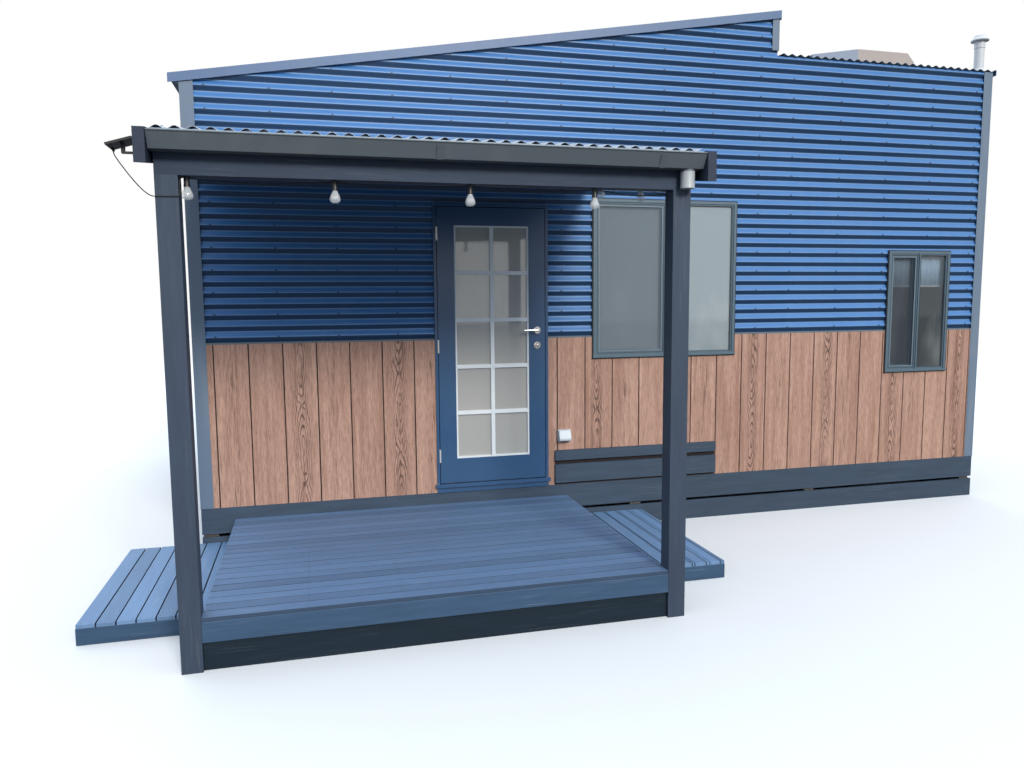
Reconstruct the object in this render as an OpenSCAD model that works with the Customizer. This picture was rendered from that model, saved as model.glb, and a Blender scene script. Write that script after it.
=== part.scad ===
// Garden office pod: a framed cabin with corrugated steel and timber-look panels,
// a stepped roof, a lean-to veranda and a painted timber deck with two side steps.
// Millimetres. The origin is on the ground under the middle of the cabin, and the front faces -Y.

/* [Cabin] */
// Width of the cabin over its corner trims
cabin_w = 6540; // [6300:10:7200]
// Depth of the cabin over its corner trims
cabin_d = 4200; // [3600:10:5200]
// Height of the floor above the ground
floor_h = 400; // [380:5:430]
// Thickness of the framed and lined walls behind the cladding
wall_t = 100; // [80:5:140]
// Distance from the left side of the cabin to the step in the roof
step_from_left = 4458; // [4300:10:4560]
// Width of the visible face of a corner trim
trim_w = 88; // [70:2:110]
// Thickness of the folded metal trims and caps
trim_t = 3; // [2:0.5:4]

/* [Cladding] */
// Distance from crest to crest of the corrugated sheet
wave_pitch = 76.2; // [60:0.1:90]
// Depth of the corrugations
wave_depth = 16; // [12:1:20]
// Thickness of the corrugated sheet
sheet_t = 2; // [1.5:0.5:3]
// Height of the bottom edge of the timber-look panels
panel_low = 359; // [320:1:375]
// Height of the timber-look panels
panel_h = 1143; // [1100:1:1180]
// Height of the upper base board, under the panels
base_h = 184; // [150:1:200]
// Gap between the boards round the base
slat_gap = 22; // [14:1:28]
// Distance between the grooves of the timber-look panels
groove_pitch = 230; // [180:1:260]
// Distance from the left end of a panelled wall to its first groove
groove_start = 129; // [60:1:200]
// Distance between the grooves right of the door
right_groove_pitch = 225.5; // [180:0.5:260]
// Distance from the right side of the door to the first groove
right_groove_start = 76; // [30:1:200]
// Width of a panel groove
groove_w = 7; // [4:1:10]
// Depth of a panel groove
groove_d = 5; // [3:1:8]
// Height of the dark flashing between the panels and the corrugated sheet
flash_h = 12; // [8:1:20]

/* [Roofs] */
// Height of the left roof's top edge at its low, left end
left_eave_h = 3290; // [3200:10:3350]
// Slope of the left roof in degrees
left_pitch = 9.46; // [8:0.1:10.5]
// Height of the step from the right roof's crests up to the left roof's top edge
step_rise = 323.5; // [300:0.5:360]
// Fall of the right roof towards the back in degrees
right_pitch = 3; // [1.5:0.1:4]
// Thickness of the framed and lined roofs under the sheet
roof_t = 120; // [90:5:150]
// How far the roofs stand out beyond the walls at the sides
roof_out = 66; // [50:1:80]
// Height of the barge cap's face
cap_h = 60; // [50:1:75]
// How far the barge caps stand in front of the corner trims
cap_out = 10; // [6:1:16]
// Distance from the step in the roof to the roof box
box_from_step = 488; // [300:2:600]
// Distance from the front of the cabin to the roof box
box_from_front = 260; // [200:10:600]
// Width of the roof box
box_w = 1010; // [800:10:1100]
// Depth of the roof box
box_d = 420; // [300:10:700]
// Height of the roof box's top over the front of the right roof
box_up = 174; // [120:2:240]
// Height of the sloped part of the roof box
box_brim = 72; // [40:2:90]
// Width of the roof box's left slope
box_left_hip = 440; // [300:10:460]
// Width of the roof box's right slope
box_right_hip = 70; // [40:5:200]
// Radius of the vent pipe
vent_r = 40; // [35:1:50]
// Height of the vent pipe over the roof
vent_h = 312; // [280:2:340]
// Width of the grey upright trim at the step in the roof
step_trim_w = 61; // [45:1:75]

/* [Door] */
// Distance from the left side of the cabin to the outside of the door frame
door_from_left = 1667; // [1600:5:1760]
// Width of the door leaf
leaf_w = 816; // [760:2:870]
// Height of the door leaf
leaf_h = 2036; // [1960:2:2060]
// Thickness of the door leaf
leaf_t = 40; // [35:1:45]
// Clearance all round the door leaf
leaf_gap = 5; // [5:0.5:7]
// Thickness of the door jambs
jamb_t = 20; // [18:1:30]
// Thickness of the door sill
sill_t = 26; // [20:1:32]
// Width of the leaf's stiles beside its glazed part
stile_w = 126.5; // [105:0.5:150]
// Height of the leaf's rail over the glazed part
top_rail = 131; // [110:1:160]
// Height of the leaf's rail under the glazed part
lite_up = 183; // [160:1:210]
// Width of the glazing bars
bar_w = 28; // [20:1:36]
// Thickness of the door glass
glass_t = 5; // [4:0.5:8]
// Height of the lever handle above the bottom of the leaf
handle_up = 1134; // [1060:2:1200]
// Distance from the handle down to the deadbolt
bolt_down = 114; // [90:1:140]
// Radius of the hinge knuckles
knuckle_r = 6.5; // [5.5:0.5:8]
// Height of a hinge
hinge_h = 96; // [75:1:110]

/* [Windows] */
// Width and height of the large window
win_a = 1210; // [1100:10:1260]
// Distance from the left side of the cabin to the large window
win_a_from_left = 2899; // [2860:5:2960]
// Height of the bottom of the large window
win_a_low = 1342; // [1300:2:1380]
// Width of the small window
win_b_w = 620; // [560:10:660]
// Height of the small window
win_b_h = 1030; // [960:10:1060]
// Distance from the left side of the cabin to the small window
win_b_from_left = 5565; // [5500:5:5620]
// Height of the bottom of the small window
win_b_low = 1150; // [1110:2:1190]
// Face width of the window frames
win_face = 32; // [26:1:40]
// How far the window frames stand out from the cladding
win_out = 12; // [8:1:18]
// Depth of the window frames
win_depth = 96; // [80:2:110]

/* [Veranda] */
// Distance from the left side of the cabin to the left post
post_from_left = 129; // [110:1:180]
// Distance between the outer faces of the two posts
post_span = 2656; // [2560:2:2720]
// Width of the square posts
post_w = 100; // [85:1:110]
// Distance from the cladding to the front faces of the posts
post_out = 1800; // [1650:10:1950]
// Height of the underside of the veranda beam
beam_low = 2365; // [2300:1:2400]
// Height of the beam
beam_h = 170; // [140:2:190]
// Thickness of the beam
beam_t = 90; // [70:2:100]
// Slope of the veranda roof in degrees
veranda_pitch = 9; // [7:0.1:10]
// How far the sheet runs out over the gutter
sheet_over = 50; // [30:1:65]
// Depth of the rafters
rafter_h = 140; // [90:2:150]
// Thickness of the rafters and the ledger
rafter_t = 45; // [35:1:50]
// Number of rafters
rafter_n = 5; // [4:1:7]
// Width of the roof battens
batten_w = 70; // [45:1:90]
// Thickness of the roof battens
batten_t = 38; // [30:1:42]
// Thickness of the barge boards at the ends of the veranda roof
barge_t = 49; // [35:1:55]
// Height of the barge boards
barge_h = 154; // [140:1:170]
// Width of the veranda gutter
gutter_w = 117; // [100:1:125]
// Height of the veranda gutter
gutter_h = 80; // [70:1:95]
// How far the foot of the veranda gutter's front stands back from its lip
gutter_lean = 39; // [25:1:41]
// Thickness of the gutter metal
gutter_t = 2; // [1.5:0.5:3]
// Outer diameter of the outlet pipe
pipe_d = 74; // [65:1:78]

/* [Deck] */
// Height of the deck above the ground
deck_h = 274; // [250:2:300]
// Thickness of the deck boards
board_t = 22; // [19:1:28]
// Height of the side steps above the ground
step_h = 114; // [100:2:140]
// Width of the left side step
left_step_w = 690; // [550:10:760]
// Width of the right side step
right_step_w = 633; // [550:10:700]
// Depth of the side steps, from the wall to their front
step_d = 1310; // [1150:10:1450]
// Height of the upper fascia board
fascia_h = 105; // [90:1:120]
// Height of the front bulbs with their holders
lamp_h = 106; // [90:1:140]

/* [Hidden] */
$fn = 48;

// Planes of the cabin: out is the trims' face, skin the cladding's crests, core the framing
out_x = cabin_w / 2;
out_y = cabin_d / 2;
skin_x = out_x - trim_t;
skin_y = out_y - trim_t;
skin_t = wave_depth + sheet_t;
core_x = skin_x - skin_t;
core_y = skin_y - skin_t;
step_x = -out_x + step_from_left;
step_skin_x = step_x - trim_t;
step_core_x = step_skin_x - skin_t;
far = 20000;
through = 60;

// Floor and base
floor_panel_t = 22;
joist_h = 140;
joist_t = 45;
joist_pitch = 600;
stump_w = 90;
joist_low = floor_h - floor_panel_t - joist_h;
seat_gap = 0.3;
panel_top = panel_low + panel_h;
clad_low = panel_top + flash_h;

// Roofs
left_edge_x = -out_x - roof_out;
left_under = (skin_t + trim_t) / cos(left_pitch);
right_under = skin_t / cos(right_pitch);
ridge_x = step_x + cap_out;
right_edge_x = out_x + roof_out * 0.4;
roof_front_y = -out_y - cap_out;
cap_in = 1;
back_over = 40;
flash_w = 90;
flash_up = 60;

function left_top(x) = left_eave_h + (x - left_edge_x) * tan(left_pitch);
right_roof_h = left_top(ridge_x) - step_rise;

function right_top(y) = right_roof_h - (y - roof_front_y) * tan(right_pitch);

// Door
door_x = -out_x + door_from_left;
frame_w = leaf_w + 2 * (leaf_gap + jamb_t);
door_end_x = door_x + frame_w;
leaf_low = floor_h + sill_t + leaf_gap;
leaf_x = door_x + jamb_t + leaf_gap;
frame_top = leaf_low + leaf_h + leaf_gap + jamb_t;
frame_y = -out_y - 8;
leaf_y = frame_y;
wall_in_y = -core_y + wall_t;
hinge_x = leaf_x - leaf_gap / 2;
hinge_y = leaf_y - knuckle_r - 1;
handle_x = leaf_x + leaf_w - stile_w / 2;
lite_w = leaf_w - 2 * stile_w;
lite_h = leaf_h - lite_up - top_rail;
lite_x = leaf_x + stile_w;
lite_low = leaf_low + lite_up;

// Windows
win_a_x = -out_x + win_a_from_left;
win_b_x = -out_x + win_b_from_left;
win_y = -skin_y - win_out;
win_screen = 11;
win_sash_in = 36;
win_sash_t = 24;

// Veranda
wall_y = -skin_y;
post_x = -out_x + post_from_left;
post_end_x = post_x + post_span;
post_y = wall_y - post_out;
beam_top = beam_low + beam_h;
veranda_under_t = skin_t / cos(veranda_pitch);
barge_in_x = post_x - 10;
barge_end_x = post_end_x + 37;
barge_y = post_y - gutter_w;
barge_drop = 23;
batten_n = 4;
rafter_in = 46;
gutter_up = 10;
gutter_bead = 5;
pipe_t = 3;

function veranda_under(y) = beam_top + batten_t + (y - post_y) * tan(veranda_pitch);
function rafter_low(y) = veranda_under(y) - batten_t - rafter_h;

// Deck
deck_x = post_x + post_w;
deck_end_x = post_end_x - post_w;
step_x0 = deck_x - left_step_w;
step_x1 = deck_end_x + right_step_w;
step_y = wall_y - step_d;
fascia_t = 20;
low_fascia_gap = 8;

// String of lamps: four under the beam, two under the last rafter
lamp_first = 132;
lamp_pitch = 665;
lamp_in = 45;
hook_drop = 4;
lamp_r = 35;
holder_r = 12;
cable_d = 5;
side_lamp_x = post_end_x - rafter_in - rafter_t / 2;
side_lamp_outs = [1300, 650];
beam_lamps = [for (i = [0:3]) [post_x + lamp_first + i * lamp_pitch, post_y + lamp_in, beam_low]];
side_lamps = [for (d = side_lamp_outs) [side_lamp_x, wall_y - d, rafter_low(wall_y - d) - hook_drop]];

// Route of the lead, from the panel's socket round the left post to the first lamp
lead_from = [post_x, post_y, beam_low];
lead_route = [for (p = [
    [-168, 39, 101], [-167, 39, 90], [-160, 37, 76], [-145, 33, 52], [-123, 28, 20],
    [-99, 21, -13], [-74, 13, -44], [-49, 5, -71], [-25, -2, -90], [-9, -5, -97],
    [1, -5, -98], [21, -4, -97], [51, -4, -97],
    [81, -4, -96], [97, -4, -95], [105, 1, -92], [105, 6, -72], [105, 8, -47],
    [107, 12, -22], [114, 23, -8], [123, 36, -7]
]) lead_from + p];

// A block from one corner to the opposite one
module block(low, high) {
    translate(low) cube(high - low);
}

// An outline in y and z, drawn out along x from x0 to x1
module along_x(x0, x1, points) {
    translate([x0, 0, 0]) rotate([90, 0, 90]) linear_extrude(x1 - x0) polygon(points);
}

// An outline in x and z, drawn out along y from y0 to y1
module along_y(y0, y1, points) {
    translate([0, y1, 0]) rotate([90, 0, 0]) linear_extrude(y1 - y0) polygon(points);
}

// Both of a pair of pieces that mirror each other front to back
module front_and_back() {
    for (t = [0, 1])
        mirror([0, t, 0]) children();
}

// Outline of a corrugated sheet, its waves across x, lying on y = 0
module wave_outline(width) {
    steps = 6;
    count = ceil(width / wave_pitch * steps);
    across = [for (i = [0:count]) min(width, i * wave_pitch / steps)];
    upper = [for (u = across) [u, sheet_t + wave_depth / 2 * (1 - cos(360 * u / wave_pitch))]];
    lower = [for (i = [count:-1:0]) upper[i] - [0, sheet_t]];
    polygon(concat(upper, lower));
}

// A corrugated sheet lying on z = 0, its waves side by side along x and running along y
module wave_sheet(width, run) {
    translate([0, run, 0]) rotate([90, 0, 0]) linear_extrude(run) wave_outline(width);
}

// An upright corrugated sheet with level waves, its back on y = 0 and its crests towards -y
module wall_sheet(width, height) {
    rotate([90, 0, 0]) mirror([1, 0, 0]) rotate([0, 0, 90]) wave_sheet(height, width);
}

// All that lies a drop under the top of the left roof, up to a given x
module under_left(drop, end_x) {
    start_x = -out_x - 500;
    along_y(-far, far, [[start_x, -1], [end_x, -1], [end_x, left_top(end_x) - drop],
        [start_x, left_top(start_x) - drop]]);
}

// All that lies a drop under the crests of the right roof, from a given x on
module under_right(drop, start_x) {
    end_y = out_y + 500;
    along_x(start_x, far, [[-end_y, -1], [end_y, -1], [end_y, right_top(end_y) - drop],
        [-end_y, right_top(-end_y) - drop]]);
}

// The space that the walls' framing may fill, under both roofs
module under_slabs() {
    union() {
        under_left(left_under + roof_t, step_core_x);
        under_right(right_under + roof_t, step_core_x - 1);
    }
}

// The space that cladding and trims may fill, under both roofs' sheets
module under_sheets() {
    union() {
        under_left(left_under, step_skin_x);
        under_right(right_under, step_skin_x - 1);
    }
}

module window_holes() {
    block([win_a_x, -out_y - through, win_a_low], [win_a_x + win_a, wall_in_y + through, win_a_low + win_a]);
    block([win_b_x, -out_y - through, win_b_low],
        [win_b_x + win_b_w, wall_in_y + through, win_b_low + win_b_h]);
}

module door_hole() {
    block([door_x, -out_y - through, 0], [door_end_x, wall_in_y + through, frame_top]);
}

module stumps() {
    nx = 5;
    ny = 3;
    color("dimgray")
    for (x = [for (i = [0:nx - 1]) -core_x + i * (2 * core_x - stump_w) / (nx - 1)])
    for (y = [for (j = [0:ny - 1]) -core_y + j * (2 * core_y - stump_w) / (ny - 1)])
        translate([x, y, 0]) cube([stump_w, stump_w, joist_low]);
}

// Three bearers along x, and joists between them
module floor_frame() {
    span = 2 * core_x - joist_t;
    n = round(span / joist_pitch);
    run = core_y - 1.5 * joist_t - 2 * seat_gap;
    color("burlywood")
    translate([0, 0, joist_low]) {
        for (y = [-core_y, -joist_t / 2, core_y - joist_t])
            translate([-core_x, y, 0]) cube([2 * core_x, joist_t, joist_h]);
        for (i = [0:n])
        for (y = [-core_y + joist_t + seat_gap, joist_t / 2 + seat_gap])
            translate([-core_x + i * span / n, y, 0]) cube([joist_t, run, joist_h]);
    }
}

module floor_panel() {
    color("tan")
    block([-core_x, -core_y, floor_h - floor_panel_t], [core_x, core_y, floor_h]);
}

// Part of the front wall from x0 to x1, from a given height up to the roof
module front_wall(x0, x1, low) {
    color("gainsboro")
    difference() {
        intersection() {
            block([x0, -core_y, low], [x1, wall_in_y, far]);
            under_slabs();
        }
        window_holes();
    }
}

module front_wall_left() {
    front_wall(-core_x, door_x, floor_h);
}

module front_wall_over_door() {
    front_wall(door_x, door_end_x, frame_top);
}

module front_wall_right() {
    front_wall(door_end_x, core_x, floor_h);
}

module side_walls() {
    color("gainsboro")
    intersection() {
        for (s = [0, 1])
            mirror([s, 0, 0])
                block([-core_x, wall_in_y, floor_h], [-core_x + wall_t, -wall_in_y, far]);
        under_slabs();
    }
}

module back_wall() {
    color("gainsboro")
    intersection() {
        block([-core_x, -wall_in_y, floor_h], [core_x, core_y, far]);
        under_slabs();
    }
}

// Wall over the step in the roof, on the beam that carries both roofs there
module step_wall() {
    beam_under = 180;
    low = right_top(out_y) - right_under - roof_t - beam_under;
    color("gainsboro")
    intersection() {
        block([step_core_x - wall_t, wall_in_y, low], [step_core_x, -wall_in_y, far]);
        under_left(left_under + roof_t, step_core_x);
    }
}

module roof_slabs() {
    color("silver") {
        difference() {
            intersection() {
                block([-core_x, -core_y, floor_h], [step_core_x, core_y, far]);
                under_left(left_under + seat_gap, step_core_x);
            }
            under_left(left_under + roof_t, step_core_x + 1);
        }
        difference() {
            intersection() {
                block([step_core_x, -core_y, floor_h], [core_x, core_y, far]);
                under_right(right_under + seat_gap, step_core_x);
            }
            under_right(right_under + roof_t, step_core_x - 1);
        }
    }
}

module front_cladding() {
    color("royalblue")
    difference() {
        intersection() {
            translate([-skin_x, -core_y, clad_low]) wall_sheet(2 * skin_x, far / 4 - clad_low);
            under_sheets();
        }
        window_holes();
        door_hole();
    }
}

// Cladding of the sides, the back and the step in the roof
module side_cladding() {
    step_low = clad_low + floor((right_top(core_y) - clad_low) / wave_pitch) * wave_pitch;
    color("royalblue")
    intersection() {
        union() {
            for (s = [0, 1])
                mirror([s, 0, 0]) translate([-core_x, core_y, clad_low]) rotate([0, 0, -90])
                    wall_sheet(2 * core_y, far / 4 - clad_low);
            mirror([0, 1, 0]) translate([-skin_x, -core_y, clad_low])
                wall_sheet(2 * skin_x, far / 4 - clad_low);
            difference() {
                translate([step_core_x, -core_y, step_low]) rotate([0, 0, 90]) wall_sheet(2 * core_y, 900);
                under_right(-2, step_core_x - 1);
            }
        }
        under_sheets();
    }
}

// Timber-look panel along a wall, its back on y = 0 and its grooves towards -y
module grooved_panel(width, start, pitch) {
    n = floor((width - start) / pitch);
    translate([0, 0, panel_low])
    linear_extrude(panel_h)
    difference() {
        translate([0, -skin_t]) square([width, skin_t]);
        for (i = [0:n])
            translate([start + i * pitch - groove_w / 2, -skin_t - 1]) square([groove_w, groove_d + 1]);
    }
}

module timber_panels() {
    color("sienna")
    difference() {
        union() {
            translate([-skin_x, -core_y, 0])
                grooved_panel(door_x + skin_x, groove_start, groove_pitch);
            translate([door_end_x, -core_y, 0])
                grooved_panel(skin_x - door_end_x, right_groove_start, right_groove_pitch);
            mirror([0, 1, 0]) translate([-skin_x, -core_y, 0])
                grooved_panel(2 * skin_x, groove_start, groove_pitch);
            for (s = [0, 1])
                mirror([s, 0, 0]) translate([-core_x, core_y, 0]) rotate([0, 0, -90])
                    grooved_panel(2 * core_y, groove_start, groove_pitch);
        }
        window_holes();
    }
}

// A band round the cabin, from its framing out to the face of its cladding
module band(low, high) {
    difference() {
        block([-skin_x, -skin_y, low], [skin_x, skin_y, high]);
        block([-core_x, -core_y, low - 1], [core_x, core_y, high + 1]);
    }
}

module panel_flashing() {
    color("darkslategray")
    difference() {
        band(panel_top, clad_low);
        door_hole();
        window_holes();
    }
}

// Folded angles up the four corners, and one at each end of the step in the roof
module corner_trims() {
    color("slategray") {
        intersection() {
            difference() {
                block([-out_x, -out_y, panel_low], [out_x, out_y, far]);
                block([-skin_x, -skin_y, 0], [skin_x, skin_y, far + 1]);
                block([-out_x + trim_w, -far, 0], [out_x - trim_w, far, far + 1]);
                block([-far, -out_y + trim_w, 0], [far, out_y - trim_w, far + 1]);
            }
            under_sheets();
        }
        front_and_back()
        intersection() {
            difference() {
                block([step_x - step_trim_w, -out_y, right_roof_h + 20], [step_x, -out_y + step_trim_w, far]);
                block([-far, -skin_y, 0], [step_skin_x, 0, far + 1]);
            }
            under_left(left_under, step_x);
        }
    }
}

// One row of boards round the base: two long ones, and two between them at the sides
module board_row(low, high) {
    front_and_back()
        block([-skin_x, -skin_y, low], [skin_x, -core_y, high]);
    for (s = [0, 1])
        mirror([s, 0, 0])
            block([-skin_x, -core_y + seat_gap, low], [-core_x, core_y - seat_gap, high]);
}

// Two rows of boards round the base, and slats over the foot of the panels beside the door
module base_boards() {
    slat_gap_x = 53;
    slat_x = door_end_x + slat_gap_x;
    slat_w = 1370;
    slat_t = 25;
    slat_lows = [19, 195];
    slat_highs = [163, 273];
    color("darkslategray") {
        board_row(panel_low - base_h, panel_low);
        board_row(0, panel_low - base_h - slat_gap);
        for (i = [0, 1])
            block([slat_x, -skin_y - slat_t, panel_low + slat_lows[i]],
                [slat_x + slat_w, -skin_y, panel_low + slat_highs[i]]);
    }
}

module roof_sheets() {
    edge_in = 20;
    start_x = left_edge_x + edge_in;
    edge_t = trim_t + cap_in;
    half = -roof_front_y - edge_t;
    color("slategray") {
        translate([start_x, 0, left_top(start_x) - left_under])
        rotate([0, -left_pitch, 0]) rotate([0, 0, -90]) translate([-half, 0, 0])
            wave_sheet(2 * half, (ridge_x - edge_t - start_x) / cos(left_pitch));
        translate([step_x, roof_front_y, right_top(roof_front_y) - right_under])
        rotate([-right_pitch, 0, 0])
            wave_sheet(right_edge_x - edge_t - step_x, (2 * out_y + cap_out + back_over) / cos(right_pitch));
    }
}

// Folded caps along the edges of both roofs, and flashings where a roof meets a wall
module roof_caps() {
    side_drop = 45;
    flange = flash_w;
    ridge_drop = cap_h + 10;
    back_y = out_y + back_over;
    ridge_h = left_top(ridge_x);
    flange_h = left_top(ridge_x - flange);
    function slope_plate(height) = [[left_edge_x, left_eave_h], [ridge_x, ridge_h],
        [ridge_x, ridge_h - height], [left_edge_x, left_eave_h - height]];
    color("slategray")
    union() {
        front_and_back() {
            along_y(roof_front_y, roof_front_y + trim_t, slope_plate(cap_h));
            along_y(roof_front_y, roof_front_y + flange, slope_plate(trim_t));
        }
        block([ridge_x - trim_t, roof_front_y, ridge_h - ridge_drop],
            [ridge_x, -roof_front_y, ridge_h - trim_t]);
        along_y(roof_front_y, -roof_front_y, [[ridge_x, ridge_h], [ridge_x, ridge_h - trim_t],
            [ridge_x - flange, flange_h - trim_t], [ridge_x - flange, flange_h]]);
    }
    color("slategray")
    along_x(right_edge_x - trim_t, right_edge_x, [[roof_front_y, right_top(roof_front_y)],
        [back_y, right_top(back_y)], [back_y, right_top(back_y) - side_drop],
        [roof_front_y, right_top(roof_front_y) - side_drop]]);
    color("slategray")
    union() {
        step_flashing(trim_t, flash_up);
        step_flashing(flash_w, trim_t);
    }
    color("slategray")
    union() {
        veranda_flashing(trim_t, flash_up);
        veranda_flashing(flash_w, trim_t);
    }
}

// One leg of the flashing at the foot of the step, on the right roof's crests
module step_flashing(width, up) {
    y0 = -out_y + step_trim_w + seat_gap;
    base = seat_gap;
    along_x(step_skin_x, step_skin_x + width, [[y0, right_top(y0) + base], [-y0, right_top(-y0) + base],
        [-y0, right_top(-y0) + base + up], [y0, right_top(y0) + base + up]]);
}

// One leg of the flashing along the wall, on the veranda sheet's crests
module veranda_flashing(width, up) {
    base = veranda_under_t + seat_gap;
    y0 = wall_y - width;
    along_x(barge_in_x, barge_end_x, [[y0, veranda_under(y0) + base], [wall_y, veranda_under(wall_y) + base],
        [wall_y, veranda_under(wall_y) + base + up], [y0, veranda_under(y0) + base + up]]);
}

// Outline of a full gutter, set in from its faces: flat back on x = 0, and a front that leans out
module gutter_outline(width, height, lean, inset) {
    slope = lean / height;
    front_in = inset * sqrt(1 + slope * slope);
    foot_x = width - lean + slope * inset - front_in;
    polygon([[inset, inset], [foot_x, inset], [width - front_in, height], [width - front_in, 2 * height],
        [inset, 2 * height]]);
}

// A gutter with closed ends, drawn out along z, and the pipe that leads down from it
module gutter(length, width, height, lean, back_h, outlet_at, outer_d, pipe_h) {
    pipe_x = max((width - lean) / 2, outer_d / 2 + 1);
    difference() {
        union() {
            linear_extrude(length)
            intersection() {
                gutter_outline(width, height, lean, 0);
                polygon([[-1, -1], [width + 1, -1], [width + 1, height], [width - 12, height],
                    [width - 14, back_h], [-1, back_h]]);
            }
            translate([pipe_x, height / 3, outlet_at]) rotate([90, 0, 0])
                cylinder(d = outer_d, h = height / 3 + pipe_h);
        }
        translate([0, 0, gutter_t]) linear_extrude(length - 2 * gutter_t)
            gutter_outline(width, height, lean, gutter_t);
        translate([pipe_x, height, outlet_at]) rotate([90, 0, 0])
            cylinder(d = outer_d - 2 * pipe_t, h = height + pipe_h + 1);
    }
    translate([width - gutter_bead, height - gutter_bead, 0])
        cylinder(r = gutter_bead, h = length, $fn = 24);
}

// Strap that holds a down pipe to the wall behind it, on x = 0 and with the wall towards +x
module pipe_strap(out, outer_d) {
    half = outer_d / 2 + 3;
    difference() {
        union() {
            translate([-out, 0, 0]) cylinder(r = half, h = 20);
            translate([-out, -half, 0]) cube([out, 2 * half, 20]);
        }
        translate([-out, 0, -1]) cylinder(d = outer_d + 2 * seat_gap, h = 22);
    }
}

// Gutters under the low edges of the two roofs, at the left side and at the back, with down pipes
module eave_gutters() {
    width = roof_out - 4;
    lean = 20;
    left_h = 48;
    back_h = 96;
    pipe_out = (width - lean) / 2;
    down_d = 2 * pipe_out - 4;
    outlet_in = 160;
    foot = 90;
    strap_ups = [900, 2500];
    left_low = left_eave_h - cap_h + 3;
    back_low = right_top(out_y + width) - right_under - back_h - 4;
    back_x = step_x + trim_t;
    back_run = out_x - back_x;
    color("slategray") {
        translate([-out_x, out_y, left_low]) rotate([90, 0, 0]) mirror([1, 0, 0])
            gutter(2 * out_y, width, left_h, lean, left_h - 10, outlet_in, down_d, left_low - foot);
        translate([back_x, out_y, back_low]) rotate([90, 0, 90])
            gutter(back_run, width, back_h, lean, back_h - 26, back_run - outlet_in, down_d, back_low - foot);
        for (up = strap_ups) {
            translate([-skin_x, out_y - outlet_in, up]) pipe_strap(pipe_out + trim_t, down_d);
            translate([out_x - outlet_in, skin_y, up]) rotate([0, 0, -90])
                pipe_strap(pipe_out + trim_t, down_d);
        }
    }
}

// Low hipped box on the right roof, near its front edge
module roof_box() {
    sunk = 60;
    x0 = step_x + box_from_step;
    x1 = x0 + box_w;
    y0 = -out_y + box_from_front;
    top = right_roof_h + box_up;
    color("lightsteelblue")
    difference() {
        along_y(y0, y0 + box_d, [[x0, right_roof_h - sunk], [x0, top - box_brim], [x0 + box_left_hip, top],
            [x1 - box_right_hip, top], [x1, top - box_brim], [x1, right_roof_h - sunk]]);
        under_right(0, step_x);
    }
}

module vent_pipe() {
    r = vent_r;
    h = vent_h;
    centre_y = -out_y + 76;
    foot = right_top(centre_y - r);
    color("gainsboro")
    translate([out_x - 79, centre_y, foot])
    rotate_extrude()
        polygon([[0, 0], [r + 8, 0], [r + 6, 14], [r, 30], [r, h - 116], [r + 3, h - 114], [r + 3, h - 66],
            [r, h - 64], [r, h - 56], [r + 30, h - 54], [r + 31, h - 47], [r + 12, h - 26],
            [r + 2, h - 7], [0, h]]);
}

// Frame of a two-light sliding window: stepped face, sill, and in its left light a screen and a sash
module window_frame(w, h) {
    light = w / 2 - 1.5 * win_face;
    light_h = h - 2 * win_face;
    step_w = 12;
    step_in = 8;
    sill_out = 10;
    sill_side = 6;
    sill_h = 14;
    union() {
        difference() {
            cube([w, win_depth, h]);
            for (x = [win_face, w / 2 + win_face / 2]) {
                translate([x, -1, win_face]) cube([light, win_depth + 2, light_h]);
                translate([x - step_w, -1, win_face - step_w])
                    cube([light + 2 * step_w, step_in + 1, light_h + 2 * step_w]);
            }
        }
        light_ring(light, light_h, win_screen, 9, win_face / 2);
        light_ring(light, light_h, win_sash_in, win_sash_t, win_face * 0.9);
        translate([-sill_side, -sill_out, 0]) cube([w + 2 * sill_side, sill_out + step_in, sill_h]);
    }
}

// A ring in the left light, set in by a given depth
module light_ring(light, light_h, inset, t, face) {
    translate([win_face, inset, win_face])
    difference() {
        cube([light, t, light_h]);
        translate([face, -1, face]) cube([light - 2 * face, t + 2, light_h - 2 * face]);
    }
}

module window_panes(w, h) {
    light = w / 2 - 1.5 * win_face;
    light_h = h - 2 * win_face;
    sash = win_face * 0.9;
    translate([win_face + sash, win_sash_in + (win_sash_t - glass_t) / 2, win_face + sash])
        cube([light - 2 * sash, glass_t, light_h - 2 * sash]);
    translate([w / 2 + win_face / 2, 20, win_face]) cube([light, glass_t, light_h]);
}

module window_frames() {
    color("slategray") {
        translate([win_a_x, win_y, win_a_low]) window_frame(win_a, win_a);
        translate([win_b_x, win_y, win_b_low]) window_frame(win_b_w, win_b_h);
    }
}

module window_glass() {
    color("lightblue", 0.5) {
        translate([win_a_x, win_y, win_a_low]) window_panes(win_a, win_a);
        translate([win_b_x, win_y, win_b_low]) window_panes(win_b_w, win_b_h);
    }
}

// Jambs, head, stops and sill
module door_frame() {
    stop_y = leaf_y + leaf_t + leaf_gap;
    stop_t = 14;
    color("midnightblue")
    difference() {
        union() {
            difference() {
                block([door_x, frame_y, panel_low], [door_end_x, wall_in_y, frame_top]);
                block([door_x + jamb_t, frame_y - 1, 0],
                    [door_end_x - jamb_t, wall_in_y + 1, frame_top - jamb_t]);
            }
            difference() {
                block([door_x + 1, stop_y, floor_h], [door_end_x - 1, stop_y + stop_t, frame_top - 1]);
                block([door_x + jamb_t + stop_t, stop_y - 1, 0],
                    [door_end_x - jamb_t - stop_t, stop_y + stop_t + 1, frame_top - jamb_t - stop_t]);
            }
            block([door_x + 1, frame_y, panel_low], [door_end_x - 1, wall_in_y, floor_h + sill_t]);
            block([door_x - 12, frame_y - 22, floor_h], [door_end_x + 12, frame_y, floor_h + sill_t]);
        }
        block([door_x - 1, -core_y, 0], [door_end_x + 1, far, floor_h]);
    }
}

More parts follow.
